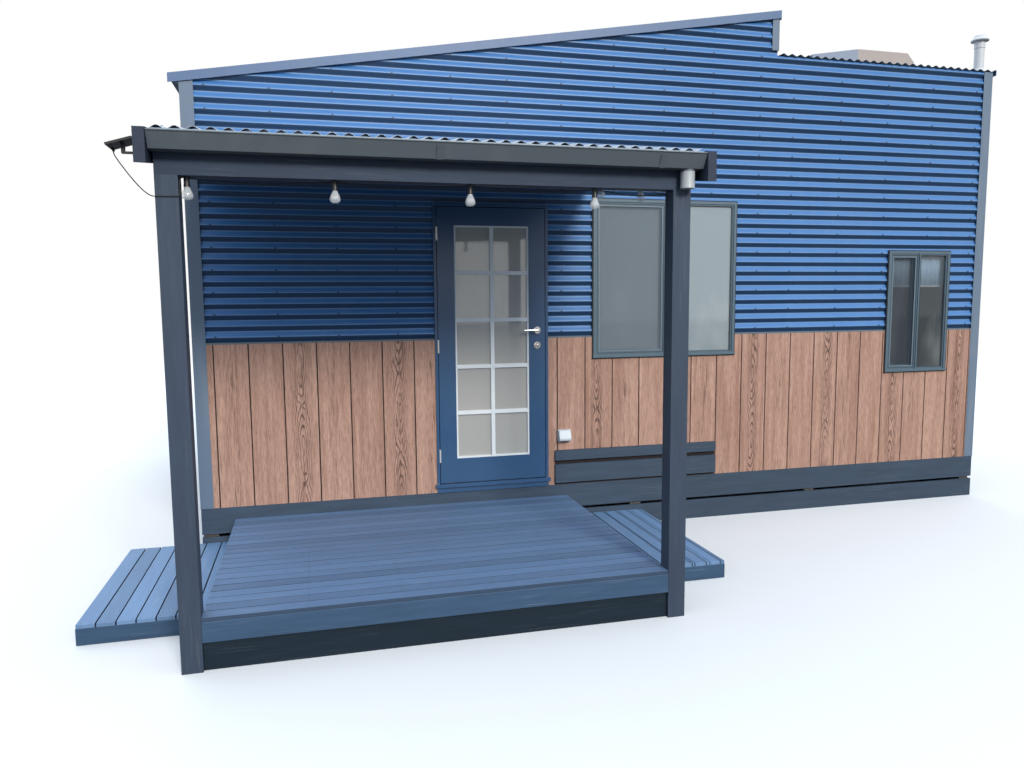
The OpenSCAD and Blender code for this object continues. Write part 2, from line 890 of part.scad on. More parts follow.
module door_leaf() {
    color("steelblue")
    difference() {
        translate([leaf_x, leaf_y, leaf_low]) cube([leaf_w, leaf_t, leaf_h]);
        translate([lite_x, leaf_y - 1, lite_low]) cube([lite_w, leaf_t + 2, lite_h]);
    }
}

module door_glass() {
    color("lightblue", 0.4)
    translate([lite_x, leaf_y + (leaf_t - glass_t) / 2, lite_low]) cube([lite_w, glass_t, lite_h]);
}

// Grid of glazing bars, two lights wide and five high, with a bead all round
module bar_grid(t) {
    bead = 12;
    cols = 2;
    rows = 5;
    cell_w = (lite_w - 2 * bead - (cols - 1) * bar_w) / cols;
    cell_h = (lite_h - 2 * bead - (rows - 1) * bar_w) / rows;
    difference() {
        cube([lite_w, t, lite_h]);
        for (i = [0:cols - 1])
        for (j = [0:rows - 1])
            translate([bead + i * (cell_w + bar_w), -1, bead + j * (cell_h + bar_w)])
                cube([cell_w, t + 2, cell_h]);
    }
}

module door_bars() {
    inset = 3;
    t = (leaf_t - glass_t) / 2 - inset;
    color("beige")
    for (y = [inset, leaf_t - inset - t])
        translate([lite_x, leaf_y + y, lite_low]) bar_grid(t);
}

// Lever on a round rose, with the deadbolt below it, standing out towards -y from y = 0
module handle_set() {
    reach = 46;
    lever = 112;
    union() {
        rotate([90, 0, 0]) cylinder(r = 26, h = 9);
        rotate([90, 0, 0]) cylinder(r = 10, h = reach);
        translate([0, -reach, 0]) rotate([0, -90, 0]) cylinder(r = 9, h = lever);
        translate([0, -reach, 0]) sphere(r = 10);
        translate([-lever, -reach, 0]) sphere(r = 9);
    }
    translate([0, 0, -bolt_down]) rotate([90, 0, 0]) union() {
        cylinder(r = 27, h = 8);
        cylinder(r = 19, h = 20);
    }
}

module door_handles() {
    color("silver")
    translate([handle_x, leaf_y, leaf_low + handle_up]) {
        handle_set();
        translate([0, leaf_t, 0]) mirror([0, 1, 0]) handle_set();
    }
}

// Hinges: where they sit, and the sizes that both halves share
hinge_low_up = 160;
hinge_top_down = 144;
hinge_top_up = leaf_h - hinge_top_down - hinge_h;
hinge_ups = [hinge_low_up, (hinge_low_up + hinge_top_up) / 2, hinge_top_up];
hinge_gap = 0.5;
hinge_third = hinge_h / 3;
hinge_pin_r = 3;
hinge_pin_gap = 0.3;
plate_t = 1.8;
plate_w = 34;
plate_in = knuckle_r + 1.5;

// Frame half of a hinge: a plate on the jamb, two knuckles and the pin
module hinge_fixed() {
    union() {
        cylinder(r = hinge_pin_r, h = hinge_h);
        for (z = [0, 2 * hinge_third + hinge_gap]) {
            translate([0, 0, z]) cylinder(r = knuckle_r, h = hinge_third - hinge_gap);
            translate([-leaf_gap / 2, 0, z]) cube([plate_t, plate_w, hinge_third - hinge_gap]);
        }
        translate([-leaf_gap / 2, plate_in, 0]) cube([plate_t, plate_w - plate_in, hinge_h]);
    }
}

// Door half of a hinge: a plate on the edge of the leaf and the middle knuckle
module hinge_moving() {
    difference() {
        union() {
            translate([0, 0, hinge_third]) cylinder(r = knuckle_r, h = hinge_third);
            translate([leaf_gap / 2 - plate_t, 0, hinge_third]) cube([plate_t, plate_w, hinge_third]);
            translate([leaf_gap / 2 - plate_t, plate_in, 0]) cube([plate_t, plate_w - plate_in, hinge_h]);
        }
        translate([0, 0, hinge_third - 1]) cylinder(r = hinge_pin_r + hinge_pin_gap, h = hinge_third + 2);
    }
}

module hinge_pins() {
    color("silver")
    for (up = hinge_ups)
        translate([hinge_x, hinge_y, leaf_low + up]) hinge_fixed();
}

module hinge_plates() {
    color("silver")
    for (up = hinge_ups)
        translate([hinge_x, hinge_y, leaf_low + up]) hinge_moving();
}

// Outdoor socket box with a lid that slopes out over it
module power_outlet() {
    x = door_end_x + 74;
    z = panel_low + 345;
    w = 100;
    h = 90;
    color("white")
    union() {
        block([x, -skin_y - 34, z], [x + w, -skin_y, z + h]);
        along_x(x + 4, x + w - 4, [[-skin_y - 33, z + 6], [-skin_y - 60, z + 10], [-skin_y - 60, z + 24],
            [-skin_y - 44, z + h - 6], [-skin_y - 33, z + h - 6]]);
    }
}

module veranda_posts() {
    color("darkslategray")
    for (x = [post_x, post_end_x - post_w])
        translate([x, post_y, 0]) cube([post_w, post_w, beam_low]);
}

module veranda_beam() {
    color("darkslategray")
    translate([post_x, post_y, beam_low]) cube([post_span, beam_t, beam_h]);
}

// A length of timber from x0 to x1 that follows the veranda's slope between two depths
module sloped(x0, x1, y0, y1, drop, height) {
    along_x(x0, x1, [[y0, veranda_under(y0) - drop], [y1, veranda_under(y1) - drop],
        [y1, veranda_under(y1) - drop - height], [y0, veranda_under(y0) - drop - height]]);
}

// Rafters, and the ledger on the wall that carries their upper ends
module veranda_rafters() {
    y0 = post_y + beam_t;
    y1 = wall_y - rafter_t;
    first_x = post_x + rafter_in;
    spread = post_span - 2 * rafter_in - rafter_t;
    color("darkslategray") {
        for (i = [0:rafter_n - 1])
            translate([i * spread / (rafter_n - 1), 0, 0])
                sloped(first_x, first_x + rafter_t, y0, y1 - 0.3, batten_t, rafter_h);
        sloped(post_x, post_end_x, y1, wall_y, batten_t, rafter_h);
    }
}

// Battens under the sheet: the first lies on the beam, the others on the rafters
module veranda_battens() {
    spread = wall_y - batten_w - post_y;
    color("darkslategray") {
        along_x(barge_in_x, barge_end_x, [[post_y, beam_top], [post_y, veranda_under(post_y)],
            [post_y + batten_w, veranda_under(post_y + batten_w)], [post_y + batten_w, beam_top]]);
        for (i = [1:batten_n - 1]) {
            y = post_y + i * spread / (batten_n - 1);
            sloped(barge_in_x, barge_end_x, y, y + batten_w, 0, batten_t);
        }
    }
}

module veranda_sheet() {
    y0 = post_y - sheet_over;
    color("lightsteelblue")
    translate([barge_in_x, y0, veranda_under(y0)]) rotate([veranda_pitch, 0, 0])
        wave_sheet(barge_end_x - barge_in_x, (wall_y - y0) / cos(veranda_pitch));
}

module veranda_barges() {
    up = veranda_under_t - barge_drop;
    color("darkslategray") {
        sloped(barge_in_x - barge_t, barge_in_x, barge_y, -out_y, -up, barge_h);
        sloped(barge_end_x, barge_end_x + barge_t, barge_y, -out_y, -up, barge_h);
    }
}

// Gutter along the front of the beam, with its outlet pipe at the right
module veranda_gutter() {
    low = beam_top + gutter_up - gutter_h;
    end_gap = 4;
    back_h = 52;
    pipe_h = 84;
    length = barge_end_x - barge_in_x - 2 * end_gap;
    outlet_at = post_end_x - barge_in_x - end_gap - post_w * 0.4;
    color("darkslategray")
    translate([barge_in_x + end_gap, post_y, low]) rotate([90, 0, 90]) mirror([1, 0, 0])
        gutter(length, gutter_w, gutter_h, gutter_lean, back_h, outlet_at, pipe_d, pipe_h);
}

// Joists, rims and legs under the deck and both steps
module deck_frame() {
    deck_low = deck_h - board_t - fascia_h;
    step_frame_h = step_h - board_t;
    step_in_y = step_y + fascia_t + seat_gap;
    front_y = post_y + fascia_t + seat_gap;
    color("slategray") {
        framed_base(deck_x, deck_end_x, front_y, deck_low, fascia_h);
        for (x = [deck_x, (deck_x + deck_end_x - stump_w) / 2, deck_end_x - stump_w])
        for (y = [front_y + fascia_t + seat_gap, wall_y - stump_w])
            translate([x, y, 0]) cube([stump_w, stump_w, deck_low - seat_gap]);
        framed_base(step_x0 + fascia_t, deck_x - seat_gap, step_in_y, 0, step_frame_h);
        framed_base(deck_end_x + seat_gap, step_x1 - fascia_t, step_in_y, 0, step_frame_h);
    }
}

// Rectangular frame against the wall: two rims along x, and joists between them
module framed_base(x0, x1, y0, low, height) {
    n = ceil((x1 - x0) / 500);
    spread = x1 - x0 - joist_t;
    high = height - seat_gap;
    for (y = [y0, wall_y - joist_t])
        translate([x0, y, low]) cube([x1 - x0, joist_t, high]);
    for (i = [0:n])
        block([x0 + i * spread / n, y0 + joist_t + seat_gap, low],
            [x0 + i * spread / n + joist_t, wall_y - joist_t - seat_gap, low + high]);
}

// Boards of the deck and of the steps at its sides
module deck_top() {
    color("slategray") {
        block([deck_x, post_y, deck_h - board_t], [deck_end_x, wall_y, deck_h]);
        block([step_x0, step_y, step_h - board_t], [deck_x, wall_y, step_h]);
        block([deck_end_x, step_y, step_h - board_t], [step_x1, wall_y, step_h]);
    }
}

// Boards round the front of the deck and the outer faces of the steps
module deck_fascia() {
    low = deck_h - board_t - fascia_h;
    low_in = fascia_t + seat_gap;
    step_high = step_h - board_t;
    side_y = step_y + fascia_t + seat_gap;
    color("slategray") {
        block([deck_x, post_y, low], [deck_end_x, post_y + fascia_t, deck_h - board_t]);
        block([deck_x, post_y + low_in, 0], [deck_end_x, post_y + low_in + fascia_t, low - low_fascia_gap]);
        block([step_x0, step_y, 0], [deck_x, step_y + fascia_t, step_high]);
        block([step_x0, side_y, 0], [step_x0 + fascia_t, wall_y, step_high]);
        block([deck_end_x, step_y, 0], [step_x1, step_y + fascia_t, step_high]);
        block([step_x1 - fascia_t, side_y, 0], [step_x1, wall_y, step_high]);
    }
}

// Small tilted panel on a bracket at the front of the left barge, with the lead's socket under it
module solar_panel() {
    tilt = 17;
    panel_w = 114;
    panel_d = 137;
    panel_t = 10;
    socket_r = 6;
    face_x = barge_in_x - barge_t;
    centre_y = post_y - 9;
    arm_low = veranda_under(centre_y) - 122;
    arm_w = 24;
    arm_x = face_x - 66;
    panel_low = lead_route[0][2] + 7;
    color("black")
    union() {
        translate([face_x - 118, centre_y - panel_d / 2, panel_low]) rotate([0, -tilt, 0])
            cube([panel_w, panel_d, panel_t]);
        block([arm_x, centre_y - arm_w / 2, arm_low], [face_x, centre_y + arm_w / 2, arm_low + 8]);
        block([arm_x, centre_y - arm_w / 2, arm_low], [arm_x + 14, centre_y + arm_w / 2, panel_low + 22]);
        translate(lead_route[0]) cylinder(r = socket_r, h = 14);
    }
}

// Profile of a bulb in its holder, hanging down from z = 0
module lamp() {
    neck = 44;
    bulb_h = lamp_h - neck;
    rotate_extrude()
        polygon(concat([[0, 0], [holder_r, 0], [holder_r, -neck * 0.5], [holder_r + 4, -neck]],
            [for (a = [50:-20:-90])
                [lamp_r * 0.9 * cos(a) , -neck - bulb_h * 0.56 + bulb_h * 0.44 * sin(a)]]));
}

// Lamps, the last two on hooks under the rafter
module string_lamps() {
    color("black") {
        for (p = beam_lamps)
            translate(p) lamp();
        for (p = side_lamps)
            translate(p) union() {
                lamp();
                cylinder(r = 2.5, h = hook_drop - 2 * seat_gap);
            }
    }
}

// Point on a smooth curve through a route, after step i and a fraction t
function curve_at(route, i, t) =
    let (n = len(route) - 1, a = route[max(i - 1, 0)], b = route[i],
        c = route[min(i + 1, n)], d = route[min(i + 2, n)])
    (2 * b + (c - a) * t + (2 * a - 5 * b + 4 * c - d) * t * t + (3 * b - a - 3 * c + d) * t * t * t) / 2;

// The smooth curve through a route, with so many rings in each of its steps
function curve(route, rings) = [
    for (i = [0:len(route) - 2]) for (k = [0:rings - 1]) curve_at(route, i, k / rings),
    route[len(route) - 1]
];

// A round cable along a line of points, whose first ring is level where start_down is set
module cable(line, start_down) {
    sides = 8;
    n = len(line);
    points = [for (i = [0:n - 1])
        let (way = line[min(i + 1, n - 1)] - line[max(i - 1, 0)],
            ahead = start_down && i == 0 ? [0, 0, -1] : way / norm(way),
            level = cross(ahead, [0, 0.98, 0.2]),
            u = level / norm(level),
            v = cross(u, ahead))
        for (k = [0:sides - 1])
            line[i] + cable_d / 2 * (u * cos(360 * k / sides) + v * sin(360 * k / sides))];
    faces = concat([[for (k = [0:sides - 1]) k]],
        [for (i = [0:n - 2]) for (k = [0:sides - 1]) let (m = (k + 1) % sides)
            [i * sides + k, (i + 1) * sides + k, (i + 1) * sides + m, i * sides + m]],
        [[for (k = [sides - 1:-1:0]) (n - 1) * sides + k]]);
    polyhedron(points, faces);
}

// The cable that joins the lamps, tied to the back of each holder
module string_cable() {
    sag = 18;
    beside = [0, holder_r + cable_d / 2 + 0.3, -cable_d];
    beam_ties = [for (p = beam_lamps) p + beside];
    turn = [side_lamp_x + beside[1] - 30, post_y + beam_t + 20, beam_low - 10];
    side_ties = [for (p = side_lamps) p + [beside[1], 0, beside[2]]];
    ties = concat(beam_ties, [turn], side_ties);
    route = [for (i = [0:len(ties) - 2]) each [ties[i], (ties[i] + ties[i + 1]) / 2 - [0, 0, sag]],
        ties[len(ties) - 1]];
    color("dimgray") cable(curve(route, 3), false);
}

// The lead that hangs from the panel's socket and runs round the post
module panel_lead() {
    color("dimgray") cable(curve(lead_route, 2), true);
}

stumps();
floor_frame();
floor_panel();
front_wall_left();
front_wall_over_door();
front_wall_right();
side_walls();
back_wall();
step_wall();
roof_slabs();
front_cladding();
side_cladding();
timber_panels();
panel_flashing();
corner_trims();
base_boards();
roof_sheets();
roof_caps();
eave_gutters();
roof_box();
vent_pipe();
window_frames();
window_glass();
door_frame();
door_leaf();
door_glass();
door_bars();
door_handles();
hinge_pins();
hinge_plates();
power_outlet();
veranda_posts();
veranda_beam();
veranda_rafters();
veranda_battens();
veranda_sheet();
veranda_barges();
veranda_gutter();
deck_frame();
deck_top();
deck_fascia();
solar_panel();
string_lamps();
string_cable();
panel_lead();
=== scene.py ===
import math
import random

import bmesh
import bpy
from mathutils import Matrix, Vector


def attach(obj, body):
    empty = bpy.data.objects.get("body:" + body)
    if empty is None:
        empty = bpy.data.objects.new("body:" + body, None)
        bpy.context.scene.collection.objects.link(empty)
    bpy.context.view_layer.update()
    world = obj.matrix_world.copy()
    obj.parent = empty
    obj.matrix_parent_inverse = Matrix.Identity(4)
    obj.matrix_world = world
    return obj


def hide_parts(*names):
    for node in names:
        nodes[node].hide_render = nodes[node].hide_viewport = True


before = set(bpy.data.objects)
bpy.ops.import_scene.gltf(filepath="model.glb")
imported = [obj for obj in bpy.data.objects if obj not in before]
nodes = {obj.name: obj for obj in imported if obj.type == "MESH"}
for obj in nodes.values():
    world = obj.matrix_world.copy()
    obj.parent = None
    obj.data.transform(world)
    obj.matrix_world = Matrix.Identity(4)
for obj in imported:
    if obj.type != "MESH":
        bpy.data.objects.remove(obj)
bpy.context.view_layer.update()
print("frame loaded,", len(nodes), "nodes")

# Camera, at the photograph's place and angle
photoCamera = {
    "place": (-2.473, -7.764, 1.779),
    "yaw": 14.374,
    "pitch": -6.041,
    "roll": -0.489,
    "focalPixels": 776.27,
    "imageWidth": 1024,
}


def makeCamera(s):
    yaw, pitch, roll = (math.radians(s[k]) for k in ("yaw", "pitch", "roll"))
    ahead = Vector((math.sin(yaw) * math.cos(pitch), math.cos(yaw) * math.cos(pitch), math.sin(pitch)))
    level = Vector((math.cos(yaw), -math.sin(yaw), 0))
    upright = level.cross(ahead)
    right = level * math.cos(roll) + upright * math.sin(roll)
    up = upright * math.cos(roll) - level * math.sin(roll)
    data = bpy.data.cameras.new("photoCamera")
    data.sensor_width = 36
    data.lens = s["focalPixels"] / s["imageWidth"] * data.sensor_width
    data.clip_end = 200
    camera = bpy.data.objects.new("photoCamera", data)
    bpy.context.scene.collection.objects.link(camera)
    camera.matrix_world = Matrix.Translation(s["place"]) @ Matrix((right, up, -ahead)).transposed().to_4x4()
    bpy.context.scene.camera = camera


makeCamera(photoCamera)


# Shader building: a Value is one socket of a material, and sums on it add Math nodes
class Value:
    def __init__(self, finish, socket):
        self.finish = finish
        self.socket = socket

    def math(self, operation, first, second=0.0):
        return self.finish.node("ShaderNodeMath", {"operation": operation}, {0: first, 1: second})

    def __add__(self, other):
        return self.math("ADD", self, other)

    def __sub__(self, other):
        return self.math("SUBTRACT", self, other)

    def __rsub__(self, other):
        return self.math("SUBTRACT", other, self)

    def __mul__(self, other):
        return self.math("MULTIPLY", self, other)

    def __truediv__(self, other):
        return self.math("DIVIDE", self, other)

    def __gt__(self, other):
        return self.math("GREATER_THAN", self, other)

    def __lt__(self, other):
        return self.math("LESS_THAN", self, other)

    __radd__ = __add__
    __rmul__ = __mul__


# A material with one Principled shader, whose other nodes come from node()
class Finish:
    def __init__(self, name, **settings):
        self.material = bpy.data.materials.new(name)
        self.material.use_nodes = True
        self.tree = self.material.node_tree
        self.tree.nodes.clear()
        self.output = self.tree.nodes.new("ShaderNodeOutputMaterial")
        self.shader = self.tree.nodes.new("ShaderNodeBsdfPrincipled")
        self.tree.links.new(self.shader.outputs[0], self.output.inputs["Surface"])
        self.place = self.node("ShaderNodeTexCoord", output="Object")
        for key, value in settings.items():
            self.shader.inputs[key.replace("_", " ")].default_value = value

    def node(self, kind, settings=None, inputs=None, output=0):
        made = self.tree.nodes.new(kind)
        for key, value in (settings or {}).items():
            setattr(made, key, value)
        for key, value in (inputs or {}).items():
            self.feed(made.inputs[key], value)
        return Value(self, made.outputs[output])

    def feed(self, socket, value):
        if isinstance(value, Value):
            self.tree.links.new(value.socket, socket)
        else:
            socket.default_value = value

    def set(self, **values):
        for key, value in values.items():
            self.feed(self.shader.inputs[key.replace("_", " ")], value)
        return self.material

    def along(self, axis):
        return self.node("ShaderNodeSeparateXYZ", inputs={0: self.place}, output=axis)

    def facing(self, axis):
        normal = self.node("ShaderNodeTexCoord", output="Normal")
        return self.node("ShaderNodeSeparateXYZ", inputs={0: normal}, output=axis)

    def stretched(self, stretch, place=None):
        place = place or self.place
        return self.node("ShaderNodeVectorMath", {"operation": "MULTIPLY"}, {0: place, 1: stretch})

    def noise(self, scale, stretch=(1, 1, 1), detail=4, roughness=0.55, distortion=0, place=None):
        inputs = {"Vector": self.stretched(stretch, place), "Scale": scale, "Detail": detail}
        inputs.update({"Roughness": roughness, "Distortion": distortion})
        return self.node("ShaderNodeTexNoise", inputs=inputs)

    def fade(self, value, start, end, low=0.0, high=1.0):
        return self.node("ShaderNodeMapRange", inputs={0: value, 1: start, 2: end, 3: low, 4: high})

    # A number from 0 to 1, the same all over one board and different on the next
    def perBoard(self, index):
        return self.node("ShaderNodeTexWhiteNoise", {"noise_dimensions": "1D"}, {"W": index})

    def mix(self, share, first, second):
        first, second = (c if isinstance(c, Value) else (*c, 1) for c in (first, second))
        return self.node("ShaderNodeMix", {"data_type": "RGBA"}, {0: share, 6: first, 7: second}, 2)

    def bump(self, height, strength, distance):
        inputs = {"Strength": strength, "Distance": distance, "Height": height}
        return self.node("ShaderNodeBump", inputs=inputs)


def tinted(colour, factor):
    return tuple(min(1, c * factor) for c in colour)


# Painted sheet metal: rain streaks run down it and dust dulls it; downward faces get painted shade, or a pale
# backing coat where under is above 1
def paintedSteel(name, colour, dustAndHighlight, streak=0.35, roughness=0.4, across=(6, 6, 0.5), under=0.7, ridgeHighlight=0):
    f = Finish(name)
    streaks = f.fade(f.noise(2.2, across, 5), 0.42, 0.75)
    worn = streaks * f.fade(f.noise(0.9, detail=3), 0.35, 0.7) * streak
    shade = f.mix(f.noise(1.4, detail=2), tinted(colour, 0.9), tinted(colour, 1.1))
    # painted shade: downward faces take the colour scaled by under, darker below 1 (paler above 1 for the
    # veranda's backing coat)
    lower = f.mix(worn, tinted(colour, under), tinted(dustAndHighlight, under))
    up = f.facing(2)
    shade = f.mix(f.fade(up, -0.18, 0.04), lower, f.mix(worn, shade, dustAndHighlight))
    # painted highlight: a pale line where faces lie level, along each crest and trough, for the sky's
    # reflection there
    if ridgeHighlight:
        shade = f.mix(f.fade(up * up, 0.0, 0.03, ridgeHighlight, 0.0), shade, tinted(dustAndHighlight, 1.4))
    rough = roughness + worn * 0.4 + f.noise(40, detail=2) * 0.08
    return f.set(Base_Color=shade, Roughness=rough, Normal=f.bump(f.noise(9, detail=2), 0.08, 0.004))


# How far the grain is squeezed on each axis, for timber that runs along X, Y or Z
alongX, alongY, alongZ = (1, 30, 30), (30, 1, 30), (30, 30, 1)


# Painted sawn timber: long grain lies under the paint, which is rubbed along cracks; with boards, a dark line
# on each board's edges is painted shade
def paintedTimber(name, colour, worn, grain=alongX, wear=0.5, roughness=0.6, depth=0.35, boards=None):
    f = Finish(name, Specular_IOR_Level=0.3)
    fibres = f.noise(3.0, grain, 6, 0.65, 0.4)
    rubbed = f.fade(fibres, 0.56, 0.72) * f.fade(f.noise(1.7, detail=3), 0.4, 0.65) * wear
    cloud = f.noise(2.5, tuple(0.3 * g + 0.7 for g in grain), 3)
    boardGapShade = 0.0
    # painted shade: a dark line along both edges of each board, for the shadow in the gap between boards
    if boards:
        axis, start, pitch = boards
        place = (f.along(axis) - start) / pitch
        index = cloud.math("FLOOR", place)
        across = place - index - 0.5
        boardGapShade = f.fade(across * across, 0.200, 0.222, 0.0, 0.9)
        cloud = cloud * 0.5 + f.perBoard(index) * 0.5
    shade = f.mix(cloud, tinted(colour, 0.72), tinted(colour, 1.28))
    return f.set(
        Base_Color=f.mix(boardGapShade, f.mix(rubbed, shade, worn), tinted(colour, 0.12)),
        Roughness=roughness + fibres * 0.2 - 0.1,
        Normal=f.bump(fibres, depth, 0.003),
    )


def plainTimber(name, light, dark, grain=(1, 24, 24)):
    f = Finish(name)
    fibres = f.noise(2.0, grain, 5, 0.6, 0.6)
    shade = f.mix(f.fade(fibres, 0.35, 0.7), light, dark)
    return f.set(Base_Color=shade, Roughness=0.6 + fibres * 0.2, Normal=f.bump(fibres, 0.2, 0.002))


# The roof box's two sheets, which meet at its top, coloured apart as painted light: the left cooler for the
# sky's light, the right paler and warmer for the sun's
def boxSteel(name, left, right, joint):
    f = Finish(name)
    cloud = f.noise(3, (1, 1, 0.4), 4)
    first, second = (f.mix(cloud, tinted(c, 0.9), tinted(c, 1.1)) for c in (left, right))
    # painted light: each side of the joint gets its own colour for how it is lit
    shade = f.mix(f.along(0) > joint, first, second)
    return f.set(Base_Color=shade, Roughness=0.45 + cloud * 0.1, Normal=f.bump(cloud, 0.05, 0.003))


def plainSurface(name, colour, roughness=0.5, speckle=0.08, scale=30, **settings):
    f = Finish(name, **settings)
    cloud = f.noise(scale, detail=3)
    shade = f.mix(cloud, tinted(colour, 1 - speckle), tinted(colour, 1 + speckle))
    rough = roughness + cloud * 0.12 - 0.06
    return f.set(Base_Color=shade, Roughness=rough, Normal=f.bump(cloud, 0.05, 0.001))


# Window glass: a see-through pane with a trace of dirt, whose pale, partly opaque colour is partly its tint
# and partly a painted sheen of sky
def windowGlass(name, tint, dirt, cover, shadedWindowFrom=10):
    f = Finish(name, IOR=1.7, Metallic=0.15)
    spots = f.fade(f.noise(2.0, (1, 1, 0.6), 5), 0.5, 0.9)
    # painted shade: glass beyond the given X, the small window's, is tinted darker for the dark room behind
    # it, and lets more through
    isShadedWindow = f.along(0) > shadedWindowFrom
    shade = f.mix(isShadedWindow, tint, tinted(tint, 0.3))
    alpha = cover * (1 - isShadedWindow * 0.55) + spots * 0.1
    # painted sheen: the pale base colour and cover stand in for the sky's reflection
    return f.set(Base_Color=f.mix(spots, shade, dirt), Roughness=0.03 + spots * 0.1, Alpha=alpha)


# Stained panels pressed to look like boards: of every three, one has arched grain and one is plain
panelGrain = {
    "light": (0.56, 0.345, 0.262),
    "dark": (0.35, 0.190, 0.135),
    "line": (0.060, 0.030, 0.024),
    "groove": (0.016, 0.010, 0.010),
    "leftStart": -3.138,
    "leftPitch": 0.230,
    "rightStart": -0.661,
    "rightPitch": 0.2255,
    "doorX": -1.17,
    "sideStart": 1.950,
    "slatEdges": (-0.684, 0.686, 0.632),
    "archLength": 0.58,
    "archRings": 24,
    "archWaver": 5,
    "leanShare": 0.18,
    "bendShare": 0.22,
    "toneShare": 0.4,
    "fibreShare": 0.75,
    "lineShare": 0.85,
    "grooveEdges": (0.2285, 0.2345),
    "otherBoards": (40, 80, 200),  # keeps the boards right of the door, on the sides and for the lean apart
}


def panelFinish(name, s):
    f = Finish(name, Specular_IOR_Level=0.3)
    x, y, z = f.along(0), f.along(1), f.along(2)
    isFront = f.facing(1) * f.facing(1) > 0.3
    isRight = (x > s["doorX"]) * (y < 0) * isFront
    left = (x - s["leftStart"]) / s["leftPitch"] * isFront * (1 - isRight)
    toRight, toSide, toLean = s["otherBoards"]
    right = ((x - s["rightStart"]) / s["rightPitch"] + toRight) * isRight
    side = ((s["sideStart"] - y) / s["leftPitch"] + toSide) * (1 - isFront)
    board = left + right + side
    index = board.math("FLOOR", board)
    across = board - index - 0.5
    tone, lean = f.perBoard(index), f.perBoard(index + toLean)
    kind = index.math("FLOORED_MODULO", index + 1, 3)
    isArched, isPlain = kind < 0.5, kind > 1.5
    spot = f.node("ShaderNodeCombineXYZ", inputs={0: board, 1: tone * 30, 2: z})
    bend = f.noise(2.2, (1.5, 1, 1.2), place=spot) - 0.5
    shift = across + (lean - 0.5) * s["leanShare"] + bend * s["bendShare"]
    cell = z / s["archLength"] + tone * 7 + bend * 0.35
    level = (cell.math("FRACT", cell) - 0.5) * 2
    rings = shift * shift * 30 + level * level
    waver = f.noise(5, (2, 1, 1), place=spot) * s["archWaver"]
    rings = rings.math("SQRT", rings) * s["archRings"] + waver
    arches = f.fade(rings.math("SINE", rings), 0.15, 0.95) * f.fade(shift * shift, 0.02, 0.075, 1.0, 0.12)
    arches = arches * isArched * f.fade(f.noise(3, (2, 1, 1.5), place=spot), 0.3, 0.5)
    streaks = f.fade(f.noise(2.4, (7, 1, 1.5), 4, 0.6, 0.8, spot), 0.52, 0.66)
    streaks = streaks * f.fade(shift * shift, 0.004, 0.05, 1.0, 0.25) * (1 - isPlain * 0.75) * 0.8
    lines = arches.math("MAXIMUM", arches, streaks)
    fibres = f.noise(2.2, (34, 1, 7), 5, 0.75, place=spot)
    shade = f.mix(f.fade(f.noise(1.1, (6, 1, 1.2), 3, place=spot), 0.3, 0.7), s["light"], s["dark"])
    shade = f.mix(tone * s["toneShare"], shade, tinted(s["light"], 1.12))
    shade = f.mix(f.fade(fibres, 0.44, 0.66) * s["fibreShare"], shade, tinted(s["dark"], 0.45))
    shade = f.mix(lines * s["lineShare"], shade, s["line"])
    shade = f.mix(f.fade(across * across, *s["grooveEdges"]), shade, s["groove"])
    start, end, high = s["slatEdges"]
    # painted shade: the panel behind the slats is coloured as dark as the grooves, for the shadow in the gaps
    # between slats
    isShadeBehindSlats = (x > start) * (x < end) * (z < high) * isFront * (y < 0)
    shade = f.mix(isShadeBehindSlats, shade, s["groove"])
    return f.set(Base_Color=shade, Roughness=0.55 + fibres * 0.2, Normal=f.bump(fibres - lines, 0.3, 0.001))


